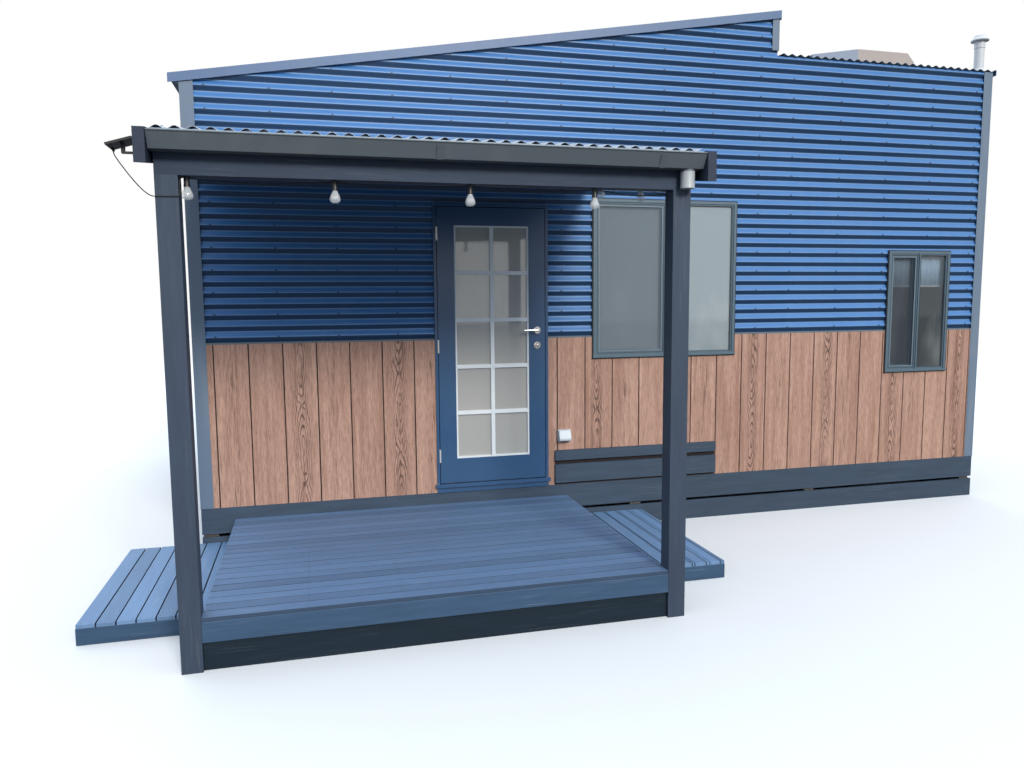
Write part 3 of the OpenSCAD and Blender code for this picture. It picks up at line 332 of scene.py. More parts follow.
finishes = {
    "claddingBlue": paintedSteel("claddingBlue", (0.046, 0.170, 0.42), (0.14, 0.25, 0.41), 0.25, under=0.26,
                                 ridgeHighlight=0.6),
    "capBlue": paintedSteel("capBlue", (0.085, 0.155, 0.29), (0.25, 0.29, 0.34), 0.3, 0.4, under=0.6),
    "trimGrey": paintedSteel("trimGrey", (0.125, 0.176, 0.245), (0.34, 0.36, 0.38), 0.4, 0.45, under=0.9),
    "roofGrey": paintedSteel("roofGrey", (0.30, 0.34, 0.39), (0.45, 0.46, 0.46), 0.5, 0.42, (6, 0.5, 0.5)),
    "verandaGrey": paintedSteel("verandaGrey", (0.34, 0.38, 0.43), (0.46, 0.48, 0.50), 0.4, 0.4, under=1.8),
    "boxGrey": boxSteel("boxGrey", (0.225, 0.265, 0.34), (0.36, 0.305, 0.280), 2.116),
    "gutterGrey": paintedSteel("gutterGrey", (0.128, 0.155, 0.180), (0.2, 0.21, 0.21), 0.4, 0.4, under=0.8),
    "lipHighlight": plainSurface("lipHighlight", (0.34, 0.43, 0.50), 0.35),
    # painted shade: the screw heads are darker than the sheet they fix, for the shade round them
    "screwShadeBlue": plainSurface("screwShadeBlue", (0.024, 0.062, 0.130), 0.45),
    "panelTimber": panelFinish("panelTimber", panelGrain),
    "beamPaint": paintedTimber("beamPaint", (0.026, 0.044, 0.078), (0.12, 0.13, 0.15)),
    "darkTimber": paintedTimber("darkTimber", (0.042, 0.066, 0.100), (0.16, 0.17, 0.18)),
    "darkRunning": paintedTimber("darkRunning", (0.024, 0.035, 0.062), (0.14, 0.15, 0.17), alongY),
    "darkUpright": paintedTimber("darkUpright", (0.042, 0.061, 0.095), (0.15, 0.16, 0.18), alongZ),
    "deckPaint": paintedTimber("deckPaint", (0.106, 0.182, 0.313), (0.28, 0.31, 0.37), alongX, 0.7, 0.62,
                               boards=(1, -3.897, 0.09)),
    "stepPaint": paintedTimber("stepPaint", (0.142, 0.248, 0.415), (0.40, 0.43, 0.47), alongY, 0.7, 0.6,
                               boards=(0, -3.731, 0.0986)),
    "fasciaPaint": paintedTimber("fasciaPaint", (0.042, 0.086, 0.155), (0.20, 0.25, 0.32), alongX, 0.5, 0.55),
    "lowBoardPaint": paintedTimber("lowBoardPaint", (0.007, 0.018, 0.031), (0.05, 0.07, 0.09), alongX, 0.6),
    "sideFascia": paintedTimber("sideFascia", (0.042, 0.086, 0.155), (0.20, 0.25, 0.32), alongY, 0.5, 0.55),
    "rawTimber": plainTimber("rawTimber", (0.60, 0.45, 0.28), (0.38, 0.25, 0.14)),
    "oldTimber": plainTimber("oldTimber", (0.11, 0.092, 0.075), (0.055, 0.045, 0.038), (24, 24, 1)),
    # painted reflection: a sky-blue blind that brightens the small window's top as the sky's reflection would
    "blindAsReflection": plainSurface("blindAsReflection", (0.50, 0.72, 0.95), 0.8),
    "lining": plainSurface("lining", (0.66, 0.64, 0.58), 0.7),
    "floorTimber": plainTimber("floorTimber", (0.36, 0.22, 0.12), (0.20, 0.11, 0.05)),
    "frameGrey": plainSurface("frameGrey", (0.098, 0.150, 0.188), 0.35, Metallic=0.2),
    "beadHighlight": plainSurface("beadHighlight", (0.22, 0.28, 0.34), 0.35, Metallic=0.2),
    "insectMesh": plainSurface("insectMesh", (0.19, 0.23, 0.27), 0.8, 0.2, 60, Alpha=0.3),
    # painted shade: a darker copy of the insect mesh for the small window, whose room is dark
    "shadedMesh": plainSurface("shadedMesh", (0.045, 0.060, 0.080), 0.8, 0.2, 60, Alpha=0.2),
    "clearGlass": windowGlass("clearGlass", (0.40, 0.47, 0.50), (0.6, 0.62, 0.6), 0.62, 1.5),
    "doorGlass": windowGlass("doorGlass", (0.62, 0.61, 0.58), (0.6, 0.62, 0.6), 0.66),
    "doorPaint": plainSurface("doorPaint", (0.024, 0.078, 0.175), 0.30, 0.06, 3, IOR=1.6),
    "barCream": plainSurface("barCream", (0.72, 0.76, 0.78), 0.45),
    "brightMetal": plainSurface("brightMetal", (0.78, 0.77, 0.75), 0.16, 0.03, Metallic=1),
    "hingeZinc": plainSurface("hingeZinc", (0.72, 0.72, 0.70), 0.3, 0.03, Metallic=0.4),
    "whitePlastic": plainSurface("whitePlastic", (0.49, 0.55, 0.59), 0.3, 0.03),
    "palePlastic": plainSurface("palePlastic", (0.41, 0.44, 0.45), 0.4, 0.12, 40),
    "ventSteel": paintedSteel("ventSteel", (0.60, 0.61, 0.63), (0.36, 0.34, 0.31), 0.4, 0.4),
    "blackPlastic": plainSurface("blackPlastic", (0.014, 0.014, 0.016), 0.4),
    "cellBlue": plainSurface("cellBlue", (0.012, 0.018, 0.045), 0.15, Coat_Weight=1.0),
    "cableRubber": plainSurface("cableRubber", (0.012, 0.012, 0.013), 0.6),
    # painted sheen: the clear bulbs are near white and partly opaque, for the light they catch
    "bulbGlass": plainSurface("bulbGlass", (0.90, 0.94, 0.96), 0.05, 0.03, Alpha=0.40, IOR=1.8),
    "filament": plainSurface("filament", (0.80, 0.76, 0.66), 0.3, Metallic=0.3),
}

cadFinishes = {
    "stumps": "oldTimber", "floor_frame": "rawTimber", "floor_panel": "floorTimber",
    "front_wall_left": "lining", "front_wall_over_door": "lining", "front_wall_right": "lining",
    "side_walls": "lining", "back_wall": "lining", "step_wall": "lining", "roof_slabs": "lining",
    "front_cladding": "claddingBlue", "side_cladding": "claddingBlue", "timber_panels": "panelTimber",
    "panel_flashing": "gutterGrey", "corner_trims": "trimGrey", "base_boards": "darkTimber",
    "roof_sheets": "roofGrey", "roof_caps": "capBlue", "eave_gutters": "trimGrey", "roof_box": "boxGrey",
    "vent_pipe": "ventSteel", "window_frames": "frameGrey", "window_glass": "clearGlass",
    "door_frame": "doorPaint", "door_leaf": "doorPaint", "door_glass": "doorGlass", "door_bars": "barCream",
    "door_handles": "brightMetal", "hinge_pins": "hingeZinc", "hinge_plates": "hingeZinc",
    "power_outlet": "whitePlastic", "veranda_posts": "darkUpright", "veranda_beam": "beamPaint",
    "veranda_rafters": "darkRunning", "veranda_battens": "darkTimber", "veranda_sheet": "verandaGrey",
    "veranda_barges": "darkRunning", "veranda_gutter": "gutterGrey", "deck_frame": "darkTimber",
    "deck_top": "deckPaint", "deck_fascia": "fasciaPaint", "solar_panel": "blackPlastic",
    "string_lamps": "blackPlastic", "string_cable": "cableRubber", "panel_lead": "cableRubber",
}
edgeRadii = {
    "veranda_posts": 0.004, "veranda_beam": 0.004, "veranda_barges": 0.003, "base_boards": 0.003,
    "door_leaf": 0.003, "door_frame": 0.002, "door_bars": 0.003,
    "window_frames": 0.0015, "veranda_rafters": 0.002, "power_outlet": 0.004, "solar_panel": 0.0015,
    "roof_caps": 0.001, "corner_trims": 0.001,
}
for name, finish in cadFinishes.items():
    nodes[name].data.materials.clear()
    nodes[name].data.materials.append(finishes[finish])


def roundEdges(piece, radius):
    bevel = piece.modifiers.new("edges", "BEVEL")
    bevel.width = radius
    bevel.segments = 2
    bevel.limit_method = "ANGLE"


# The thickness lies inside the surface, or on both sides of it where offset is 0
def thicken(piece, thickness, offset=-1):
    solid = piece.modifiers.new("thickness", "SOLIDIFY")
    solid.thickness = thickness
    solid.offset = offset


for name, radius in edgeRadii.items():
    roundEdges(nodes[name], radius)
print("finishes made")


# Adds a made mesh or curve to the scene, on its body and with its finish
def putPiece(name, data, finish, body="pod", replaces=()):
    piece = bpy.data.objects.new(name, data)
    bpy.context.scene.collection.objects.link(piece)
    data.materials.append(finishes[finish])
    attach(piece, body)
    if replaces:
        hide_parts(*replaces)
    return piece


def meshFrom(bm, name, smoothAngle=None):
    mesh = bpy.data.meshes.new(name)
    bm.to_mesh(mesh)
    bm.free()
    if smoothAngle:
        mesh.shade_smooth()
        mesh.set_sharp_from_angle(angle=math.radians(smoothAngle))
    return mesh


def addBox(bm, low, high):
    corners = [bm.verts.new([(low, high)[(i >> a) & 1][a] for a in range(3)]) for i in range(8)]
    for face in ((0, 2, 3, 1), (4, 5, 7, 6), (0, 1, 5, 4), (2, 6, 7, 3), (0, 4, 6, 2), (1, 3, 7, 5)):
        bm.faces.new([corners[i] for i in face])


# A turned form round an axis, from (radius, distance along the axis) pairs
def addTurned(bm, origin, axis, outline, sides=24):
    spin = Vector(axis).to_track_quat("Z", "Y")
    rings = []
    for radius, along in outline:
        angles = [2 * math.pi * k / sides for k in range(sides if radius > 1e-6 else 1)]
        spots = [Vector((radius * math.cos(a), radius * math.sin(a), along)) for a in angles]
        rings.append([bm.verts.new(Vector(origin) + spin @ spot) for spot in spots])
    for a, b in zip(rings, rings[1:]):
        for k in range(sides):
            corners = [a[k % len(a)], a[(k + 1) % len(a)], b[(k + 1) % len(b)], b[k % len(b)]]
            bm.faces.new(list(dict.fromkeys(corners)))
    for ring, step in ((rings[0], -1), (rings[-1], 1)):
        if len(ring) > 2:
            bm.faces.new(ring[::step])


# Smooth curve through points, as part.scad draws its cables
def smoothCurve(points, steps):
    points = [Vector(p) for p in points]
    last = len(points) - 1
    made = []
    for i in range(last):
        a, b, c, d = (points[min(max(i + k, 0), last)] for k in (-1, 0, 1, 2))
        for t in (k / steps for k in range(steps)):
            made.append((2 * b + (c - a) * t + (2 * a - 5 * b + 4 * c - d) * t ** 2
                         + (3 * b - a - 3 * c + d) * t ** 3) / 2)
    return made + [points[-1]]


# The lead from the solar panel, which hangs free and goes round the left post
panelLead = {
    "from": (-3.141, -3.897, 2.365),
    "route": [(-168, 39, 101), (-167, 39, 90), (-160, 37, 76), (-145, 33, 52), (-123, 28, 20), (-99, 21, -13),
              (-74, 13, -44), (-49, 5, -71), (-25, -2, -90), (-9, -5, -97), (1, -5, -98), (21, -4, -97),
              (51, -4, -97), (81, -4, -96), (97, -4, -95), (105, 1, -92), (105, 6, -72), (105, 8, -47),
              (107, 12, -22), (114, 23, -8), (123, 36, -7)],
    "diameter": 0.005,
}


def makeLead(s):
    start = Vector(s["from"])
    route = smoothCurve([start + Vector(p) / 1000 for p in s["route"]], 4)
    data = bpy.data.curves.new("panelLead", "CURVE")
    data.dimensions = "3D"
    spline = data.splines.new("POLY")
    spline.points.add(len(route) - 1)
    for point, spot in zip(spline.points, route):
        point.co = (*spot, 1)
    data.bevel_depth = s["diameter"] / 2
    data.bevel_resolution = 3
    data.use_fill_caps = True
    lead = putPiece("panelLead", data, "cableRubber", replaces=("panel_lead",))
    length = sum((b - a).length for a, b in zip(route, route[1:]))
    tuple(route[0])
    print("lead made,", round(length, 3), "m long")


makeLead(panelLead)

# Corrugated sheets: crests and troughs across, drawn out along their run, with laps and screws
wave = {
    "pitch": 0.0762, "depth": 0.016, "metal": 0.002, "steps": 14, "thickness": 0.0012,
    "lapEvery": 10, "lapLift": 0.0012, "lapBelow": 0.02, "lapAbove": 0.03, "lapMargin": 0.05,
    "screwEvery": 2, "screwInset": 0.15, "cutMargin": 0.03, "holeMargins": (0.02, 0.01),
    "washer": [(0.0080, -0.001), (0.0080, 0.0006), (0.0055, 0.0008)], "head": [(0.0055, 0), (0.0055, 0.0022)],
}
screws = {"claddingBlue": bmesh.new(), "roofGrey": bmesh.new()}
screws["verandaGrey"] = screws["roofGrey"]


def waveHeight(u):
    return wave["metal"] + wave["depth"] / 2 * (1 - math.cos(2 * math.pi * u / wave["pitch"]))


# Whether a place, along and across a sheet, lies in a hole or within the margins round it
def isOpen(hole, s, u, margins=(0, 0)):
    m, n = margins
    return hole[0] - m < s < hole[1] + m and hole[2] - n < u < hole[3] + n


# Lays a strip of waves between two places across the sheet, leaving out holes (along 0, 1, across 0, 1)
def addWaves(bm, origin, across, along, u0, u1, run, holes=(), lift=0.0):
    out = across.cross(along)
    step = wave["pitch"] / wave["steps"]
    lines = [u0, u1] + [k * step for k in range(math.ceil(u0 / step), math.floor(u1 / step) + 1)]
    lines += [u for hole in holes for u in hole[2:] if u0 < u < u1]
    lines = sorted({round(u, 5) for u in lines})
    stops = sorted({0, run, *(s for hole in holes for s in hole[:2])})
    grid = [[bm.verts.new(origin + across * u + along * s + out * (waveHeight(u) + lift)) for s in stops]
            for u in lines]
    for i in range(len(lines) - 1):
        for j in range(len(stops) - 1):
            u, s = (lines[i] + lines[i + 1]) / 2, (stops[j] + stops[j + 1]) / 2
            if not any(isOpen(hole, s, u) for hole in holes):
                bm.faces.new((grid[i][j], grid[i + 1][j], grid[i + 1][j + 1], grid[i][j + 1]))


# One clad surface; cuts are (point, outward normal) planes that trim it
def makeSheet(name, origin, across, along, width, run, finish, holes=(), cuts=(), screwPitch=0.41,
              replaces=()):
    origin, across, along = Vector(origin), Vector(across), Vector(along)
    out = across.cross(along)
    bm = bmesh.new()
    addWaves(bm, origin, across, along, 0, width, run, holes)
    crest = wave["pitch"] / 2
    lap = wave["lapEvery"] * wave["pitch"] + crest
    while lap < width - wave["lapMargin"]:
        ends = lap - wave["lapBelow"], lap + wave["lapAbove"]
        addWaves(bm, origin, across, along, *ends, run, holes, wave["lapLift"])
        lap += wave["lapEvery"] * wave["pitch"]
    for point, normal in cuts:
        sheet = bm.verts[:] + bm.edges[:] + bm.faces[:]
        bmesh.ops.bisect_plane(bm, geom=sheet, plane_co=point, plane_no=normal, clear_outer=True)
    for edge in bm.edges:
        edge.smooth = not edge.is_boundary
    mesh = meshFrom(bm, name)
    mesh.shade_smooth()
    thicken(putPiece(name, mesh, finish, replaces=replaces), wave["thickness"])
    inset = wave["screwInset"]
    rows = max(1, round((run - 2 * inset) / screwPitch))
    for k in range(0, int((width - crest) / wave["pitch"]) + 1, wave["screwEvery"]):
        u = crest + k * wave["pitch"]
        for s in (inset + j * (run - 2 * inset) / rows for j in range(rows + 1)):
            spot = origin + across * u + along * s + out * (waveHeight(u) + wave["lapLift"])
            isFree = not any(isOpen(hole, s, u, wave["holeMargins"]) for hole in holes)
            if isFree and all((spot - Vector(p)).dot(Vector(away)) < -wave["cutMargin"] for p, away in cuts):
                addTurned(screws[finish], spot, out, wave["washer"], 10)
                addTurned(screws[finish], spot, out, wave["head"], 6)


# Openings in the front wall: left low corner, width, height
openings = {
    "door": ((-1.603, 0.4), 0.866, 2.092),
    "largeWindow": ((-0.371, 1.342), 1.210, 1.210),
    "smallWindow": ((2.295, 1.150), 0.620, 1.030),
}
# Faces of the walls, the step between the roofs, and each roof's slope and upper edge
cabin = {
    "skinX": 3.267, "coreX": 3.249, "coreY": 2.079, "stepX": 1.185, "low": 1.514, "high": 4.06,
    "leftPitch": math.radians(9.46), "leftEdge": -3.336, "leftTop": 3.290, "leftUnder": 0.02129,
    "rightPitch": math.radians(3), "rightFront": -2.110, "rightTop": 3.722, "rightUnder": 0.01803,
    "stepIn": 0.018, "stepLow": 3.4952, "stepHeight": 0.60,
}


def makeCladding(s):
    p, q = s["leftPitch"], s["rightPitch"]
    leftCut = ((s["leftEdge"], 0, s["leftTop"] - s["leftUnder"]), (-math.sin(p), 0, math.cos(p)))
    rightCut = ((0, s["rightFront"], s["rightTop"] - s["rightUnder"]), (0, math.sin(q), math.cos(q)))
    rightTop = ((0, s["rightFront"], s["rightTop"]), (0, -math.sin(q), -math.cos(q)))
    up, low, tall = (0, 0, 1), s["low"], s["high"] - s["low"]

    # An opening as distances along and across a sheet that starts at x and runs to the left
    def holes(start, *names):
        boxes = [openings[name] for name in names]
        return [(start - x - width, start - x, z - low, z + height - low) for (x, z), width, height in boxes]

    blue = "claddingBlue"
    stepX, skinX, coreX, coreY = (s[k] for k in ("stepX", "skinX", "coreX", "coreY"))
    makeSheet("frontSheetLeft", (stepX, -coreY, low), up, (-1, 0, 0), tall, stepX + skinX, blue,
              holes(stepX, "door", "largeWindow"), [leftCut], replaces=("front_cladding",))
    makeSheet("frontSheetRight", (skinX, -coreY, low), up, (-1, 0, 0), tall, skinX - stepX, blue,
              holes(skinX, "smallWindow"), [rightCut])
    makeSheet("backSheetLeft", (-skinX, coreY, low), up, (1, 0, 0), tall, stepX + skinX, blue,
              cuts=[leftCut], replaces=("side_cladding",))
    makeSheet("backSheetRight", (stepX, coreY, low), up, (1, 0, 0), tall, skinX - stepX, blue,
              cuts=[rightCut])
    makeSheet("leftSheet", (-coreX, -coreY, low), up, (0, 1, 0), tall, 2 * coreY, blue, cuts=[leftCut])
    makeSheet("rightSheet", (coreX, coreY, low), up, (0, -1, 0), tall, 2 * coreY, blue, cuts=[rightCut])
    makeSheet("stepSheet", (stepX - s["stepIn"], coreY, s["stepLow"]), up, (0, -1, 0), s["stepHeight"],
              2 * coreY, blue, cuts=[leftCut, rightTop])


# Battens of the veranda, cut down in front so that the sheet lies close over its gutter
battens = {
    "ends": (-3.151, -0.448), "front": -3.897, "step": 0.57667, "count": 4, "width": 0.070,
    "low": 2.535, "pitch": math.radians(9), "top": 2.564, "sheetPitch": math.radians(9.18),
}


def makeBattens(s):
    bm = bmesh.new()
    for k in range(s["count"]):
        y = s["front"] + k * s["step"]
        addBox(bm, (s["ends"][0], y, 0), (s["ends"][1], y + s["width"], 1))
    for vert in bm.verts:
        rise = vert.co.y - s["front"]
        isFirst = rise < s["step"] / 2
        foot = s["low"] + (0 if isFirst else rise * math.tan(s["pitch"]))
        vert.co.z = s["top"] + rise * math.tan(s["sheetPitch"]) if vert.co.z > 0.5 else foot
    putPiece("verandaBattens", meshFrom(bm, "verandaBattens"), "darkTimber",
             replaces=("veranda_battens",))


# Where the sheets of the roofs start and end; a run is measured on the level
roofs = {
    "leftIn": 0.020, "leftBack": 2.106, "leftWidth": 4.212, "leftEnd": 1.194, "screwPitch": 0.9,
    "rightStart": 1.188, "rightWidth": 2.1044, "rightRun": 4.25, "verandaStart": (-3.151, -3.947),
    "verandaOver": 0.050, "verandaWidth": 2.703, "verandaRun": 1.85, "verandaScrewPitch": 0.58,
}


def makeRoofs(s, r):
    p, q, v = s["leftPitch"], s["rightPitch"], battens["sheetPitch"]
    startX = s["leftEdge"] + r["leftIn"]
    start = startX, r["leftBack"], s["leftTop"] + r["leftIn"] * math.tan(p) - s["leftUnder"]
    makeSheet("leftRoofSheet", start, (0, -1, 0), (math.cos(p), 0, math.sin(p)), r["leftWidth"],
              (r["leftEnd"] - startX) / math.cos(p), "roofGrey", screwPitch=r["screwPitch"],
              replaces=("roof_sheets",))
    start = r["rightStart"], s["rightFront"], s["rightTop"] - s["rightUnder"]
    makeSheet("rightRoofSheet", start, (1, 0, 0), (0, math.cos(q), -math.sin(q)), r["rightWidth"],
              r["rightRun"] / math.cos(q), "roofGrey", screwPitch=r["screwPitch"])
    start = *r["verandaStart"], battens["top"] - r["verandaOver"] * math.tan(v)
    makeSheet("verandaRoofSheet", start, (1, 0, 0), (0, math.cos(v), math.sin(v)), r["verandaWidth"],
              r["verandaRun"] / math.cos(v), "verandaGrey", screwPitch=r["verandaScrewPitch"],
              replaces=("veranda_sheet",))


makeCladding(cabin)
makeBattens(battens)
makeRoofs(cabin, roofs)
putPiece("claddingScrews", meshFrom(screws["claddingBlue"], "claddingScrews", 40), "screwShadeBlue")
putPiece("roofScrews", meshFrom(screws["roofGrey"], "roofScrews", 40), "roofGrey")
print("sheets made")

# Plan of the deck and of both side steps
deckLeft, deckRight, deckFront, deckBack = -3.041, -0.585, -3.897, -2.097
stepLeft, stepRight, stepFront = -3.731, 0.048, -3.407

# Boards of the deck and of both side steps, with nail heads over the joists
deckBoards = {
    "gap": 0.006, "thickness": 0.022, "round": 0.0015, "joistPitch": 0.48,
    "unevenTop": 0.0012, "unevenEnd": 0.002, "endIn": 0.001,
    "nail": [(0.0035, 0), (0.0035, 0.0012)], "nailSunk": 0.001, "nailFromEnd": 0.022,
    "nailPlaces": (0.22, 0.78), "nailScatter": 0.05,  # shares of a board's width
    "fields": [
        {"name": "deck", "low": (deckLeft, deckFront), "high": (deckRight, deckBack), "top": 0.274,
         "count": 20, "axis": 1, "finish": "deckPaint"},
        {"name": "leftStep", "low": (stepLeft, stepFront), "high": (deckLeft, deckBack), "top": 0.114,
         "count": 7, "axis": 0, "finish": "stepPaint"},
        {"name": "rightStep", "low": (deckRight, stepFront), "high": (stepRight, deckBack), "top": 0.114,
         "count": 6, "axis": 0, "finish": "stepPaint"},
    ],
}


def makeDeck(s):
    chance = random.Random(4)
    nails = bmesh.new()
    for field in s["fields"]:
        bm = bmesh.new()
        axis, other = field["axis"], 1 - field["axis"]
        start, end = field["low"][other], field["high"][other]
        pitch = (field["high"][axis] - field["low"][axis]) / field["count"]
        rows = max(2, round((end - start) / s["joistPitch"]))
        for k in range(field["count"]):
            edge = field["low"][axis] + k * pitch + s["gap"] / 2
            low = [0, 0, field["top"] - s["thickness"]]
            high = [0, 0, field["top"] - chance.random() * s["unevenTop"]]
            low[axis], high[axis] = edge, edge + pitch - s["gap"]
            low[other], high[other] = start + chance.random() * s["unevenEnd"], end - s["endIn"]
            addBox(bm, low, high)
            first, reach = start + s["nailFromEnd"], end - start - 2 * s["nailFromEnd"]
            for j in range(2 * (rows + 1)):
                share = s["nailPlaces"][j % 2] + chance.uniform(-s["nailScatter"], s["nailScatter"])
                spot = [0, 0, high[2] - s["nailSunk"]]
                spot[axis], spot[other] = edge + (pitch - s["gap"]) * share, first + (j // 2) * reach / rows
                addTurned(nails, spot, (0, 0, 1), s["nail"], 8)
        mesh = meshFrom(bm, field["name"])
        replaces = ("deck_top",) if field["name"] == "deck" else ()
        piece = putPiece(field["name"] + "Boards", mesh, field["finish"], replaces=replaces)
        roundEdges(piece, s["round"])
    putPiece("deckNails", meshFrom(nails, "deckNails", 40), "blackPlastic")


makeDeck(deckBoards)
print("deck made")

# Bulbs of the string of lamps: dark holders, clear bulbs and a filament in each
lamps = {
    "first": (-3.009, -3.852, 2.365), "pitch": 0.665, "count": 4,  # along the beam
    "hung": [(-0.5535, -3.397, 2.470), (-0.5535, -2.747, 2.573)],
    "hook": [(0.0025, 0), (0.0025, 0.004)],
    "leg": (0.0012, 0.004, -0.046, 0.011, -0.030),  # radius, foot across and up, reach across and up
    "wire": [(0.0018, 0), (0.0018, 0.030)], "wireFrom": (-0.015, 0, -0.076),
    "holder": [(0, 0), (0.012, 0), (0.012, 0.010), (0.0135, 0.011), (0.0135, 0.016), (0.012, 0.017),
               (0.012, 0.022), (0.015, 0.040), (0.016, 0.044), (0.013, 0.046), (0, 0.046)],
    "bulb": [(0.0110, 0.040), (0.0120, 0.048), (0.0150, 0.056), (0.0195, 0.065), (0.0235, 0.074),
             (0.0258, 0.083), (0.0255, 0.091), (0.0215, 0.099), (0.0130, 0.1045), (0, 0.106)],
}


def makeLamps(s):
    holders, bulbs, filaments = bmesh.new(), bmesh.new(), bmesh.new()
    radius, footX, footZ, reachX, reachZ = s["leg"]
    x, y, z = s["first"]
    onBeam = [(x + k * s["pitch"], y, z) for k in range(s["count"])]
    for place in onBeam + s["hung"]:
        addTurned(holders, place, (0, 0, -1), s["holder"], 24)
        addTurned(bulbs, place, (0, 0, -1), s["bulb"], 32)
        for side in (-1, 1):
            foot, reach = Vector((side * footX, 0, footZ)), Vector((side * reachX, 0, reachZ))
            addTurned(filaments, Vector(place) + foot, reach, [(radius, 0), (radius, reach.length)], 6)
        addTurned(filaments, Vector(place) + Vector(s["wireFrom"]), (1, 0, 0), s["wire"], 8)
        if place in s["hung"]:
            addTurned(holders, place, (0, 0, 1), s["hook"], 10)
    putPiece("lampHolders", meshFrom(holders, "lampHolders", 40), "blackPlastic",
             replaces=("string_lamps",))
    putPiece("lampBulbs", meshFrom(bulbs, "lampBulbs", 60), "bulbGlass")
    putPiece("lampFilaments", meshFrom(filaments, "lampFilaments", 40), "filament")


makeLamps(lamps)

# Insect mesh in the left light of each window
windowMesh = {
    "y": -2.0935, "inset": 0.048, "middle": 0.032, "thickness": 0.0005,
    "windows": {"insectMesh": "largeWindow", "shadedMesh": "smallWindow"},
}


def makeWindowMesh(s):
    for name, opening in s["windows"].items():
        (x, z), width, height = openings[opening]
        bm = bmesh.new()
        addBox(bm, (x + s["inset"], s["y"], z + s["inset"]),
               (x + width / 2 - s["middle"], s["y"] + s["thickness"], z + height - s["inset"]))
        putPiece(name, meshFrom(bm, name), name)


makeWindowMesh(windowMesh)

# Short folded blind that shows through the top of the small window, sky blue as a painted reflection of the
# sky there
smallReflectionBlind = {
    "x": (2.318, 2.892), "y": -2.045, "z": (1.890, 2.150), "fold": 0.004, "pitch": 0.052, "steps": 88,
    "thickness": 0.001, "hemHalf": 0.006, "hemBelow": 0.012, "hemAbove": 0.002,
}


def makeBlind(s):
    bm = bmesh.new()
    (x0, x1), (low, high), y, steps = s["x"], s["z"], s["y"], s["steps"]
    spots = [x0 + (x1 - x0) * k / steps for k in range(steps + 1)]
    folds = [(x, y + s["fold"] * math.sin(2 * math.pi * x / s["pitch"])) for x in spots]
    rows = [[bm.verts.new((*fold, z)) for fold in folds] for z in (low, high)]
    for k in range(steps):
        bm.faces.new((rows[0][k], rows[0][k + 1], rows[1][k + 1], rows[1][k]))
    thicken(putPiece("smallReflectionBlind", meshFrom(bm, "smallReflectionBlind", 60), "blindAsReflection"), s["thickness"])
    hem = bmesh.new()
    addBox(hem, (x0, y - s["hemHalf"], low - s["hemBelow"]), (x1, y + s["hemHalf"], low + s["hemAbove"]))
    putPiece("blindHem", meshFrom(hem, "blindHem"), "whitePlastic")


makeBlind(smallReflectionBlind)
print("lamps, window mesh and blind made")

# Boards round the deck and the steps: bright upper board, dark lower one set back, and boards along the sides
deckFascia = {
    "round": 0.003, "thickness": 0.020, "gap": 0.0003,
    "upper": (0.147, 0.252), "lower": (0, 0.139), "step": (0, 0.092),  # low and high edges
}


def makeFascia(s):
    thick, behind = s["thickness"], s["thickness"] + s["gap"]
    across = [(deckLeft, deckRight, deckFront, "upper"), (stepLeft, deckLeft, stepFront, "step"),
              (deckRight, stepRight, stepFront, "step")]
    across = [(x0, y, x1, y + thick, kind) for x0, x1, y, kind in across]
    low = [(deckLeft, deckFront + behind, deckRight, deckFront + behind + thick, "lower")]
    along = [(x, stepFront + behind, x + thick, deckBack, "step") for x in (stepLeft, stepRight - thick)]
    kinds = (("across", across, "fasciaPaint"), ("low", low, "lowBoardPaint"), ("along", along, "sideFascia"))
    for kind, boards, finish in kinds:
        bm = bmesh.new()
        for x0, y0, x1, y1, edges in boards:
            addBox(bm, (x0, y0, s[edges][0]), (x1, y1, s[edges][1]))
        name = kind + "FasciaBoards"
        piece = putPiece(name, meshFrom(bm, name), finish,
                         replaces=("deck_fascia",) if kind == "across" else ())
        roundEdges(piece, s["round"])


makeFascia(deckFascia)

# Nail heads on the base boards and the slats
boardNails = {"nail": [(0.004, 0), (0.004, 0.0014)], "sunk": 0.001, "rows": [
    {"y": -2.097, "start": -3.15, "end": 3.15, "pitch": 0.61, "heights": (0.035, 0.118, 0.20, 0.33)},
    {"y": -2.122, "start": -0.64, "end": 0.64, "pitch": 0.64, "heights": (0.40, 0.50, 0.57, 0.616)},
]}


def makeNails(s):
    bm = bmesh.new()
    for row in s["rows"]:
        y = row["y"]
        count = round((row["end"] - row["start"]) / row["pitch"])
        for k in range(count + 1):
            x = row["start"] + k * (row["end"] - row["start"]) / count
            for z in row["heights"]:
                addTurned(bm, (x, y + s["sunk"], z), (0, -1, 0), s["nail"], 8)
    putPiece("boardNails", meshFrom(bm, "boardNails", 40), "blackPlastic")


makeNails(boardNails)

# Cells on the solar panel, and the cylinder of the door's lock
smallFittings = {
    "panelCorner": (-3.318, -3.9745, 2.473), "panelTilt": math.radians(17),
    "panelSize": (0.114, 0.137, 0.010), "margin": 0.007,
    "cells": (4, 6), "cellGap": 0.0015, "cellLow": 0.0002, "cellUp": 0.0005,
    "lock": (-0.82525, -2.128, 1.451), "slot": (0.0013, 0.0016, 0.0055),
    "cylinder": [(0.0085, -0.001), (0.0085, 0.0008), (0.0075, 0.0012)],
}


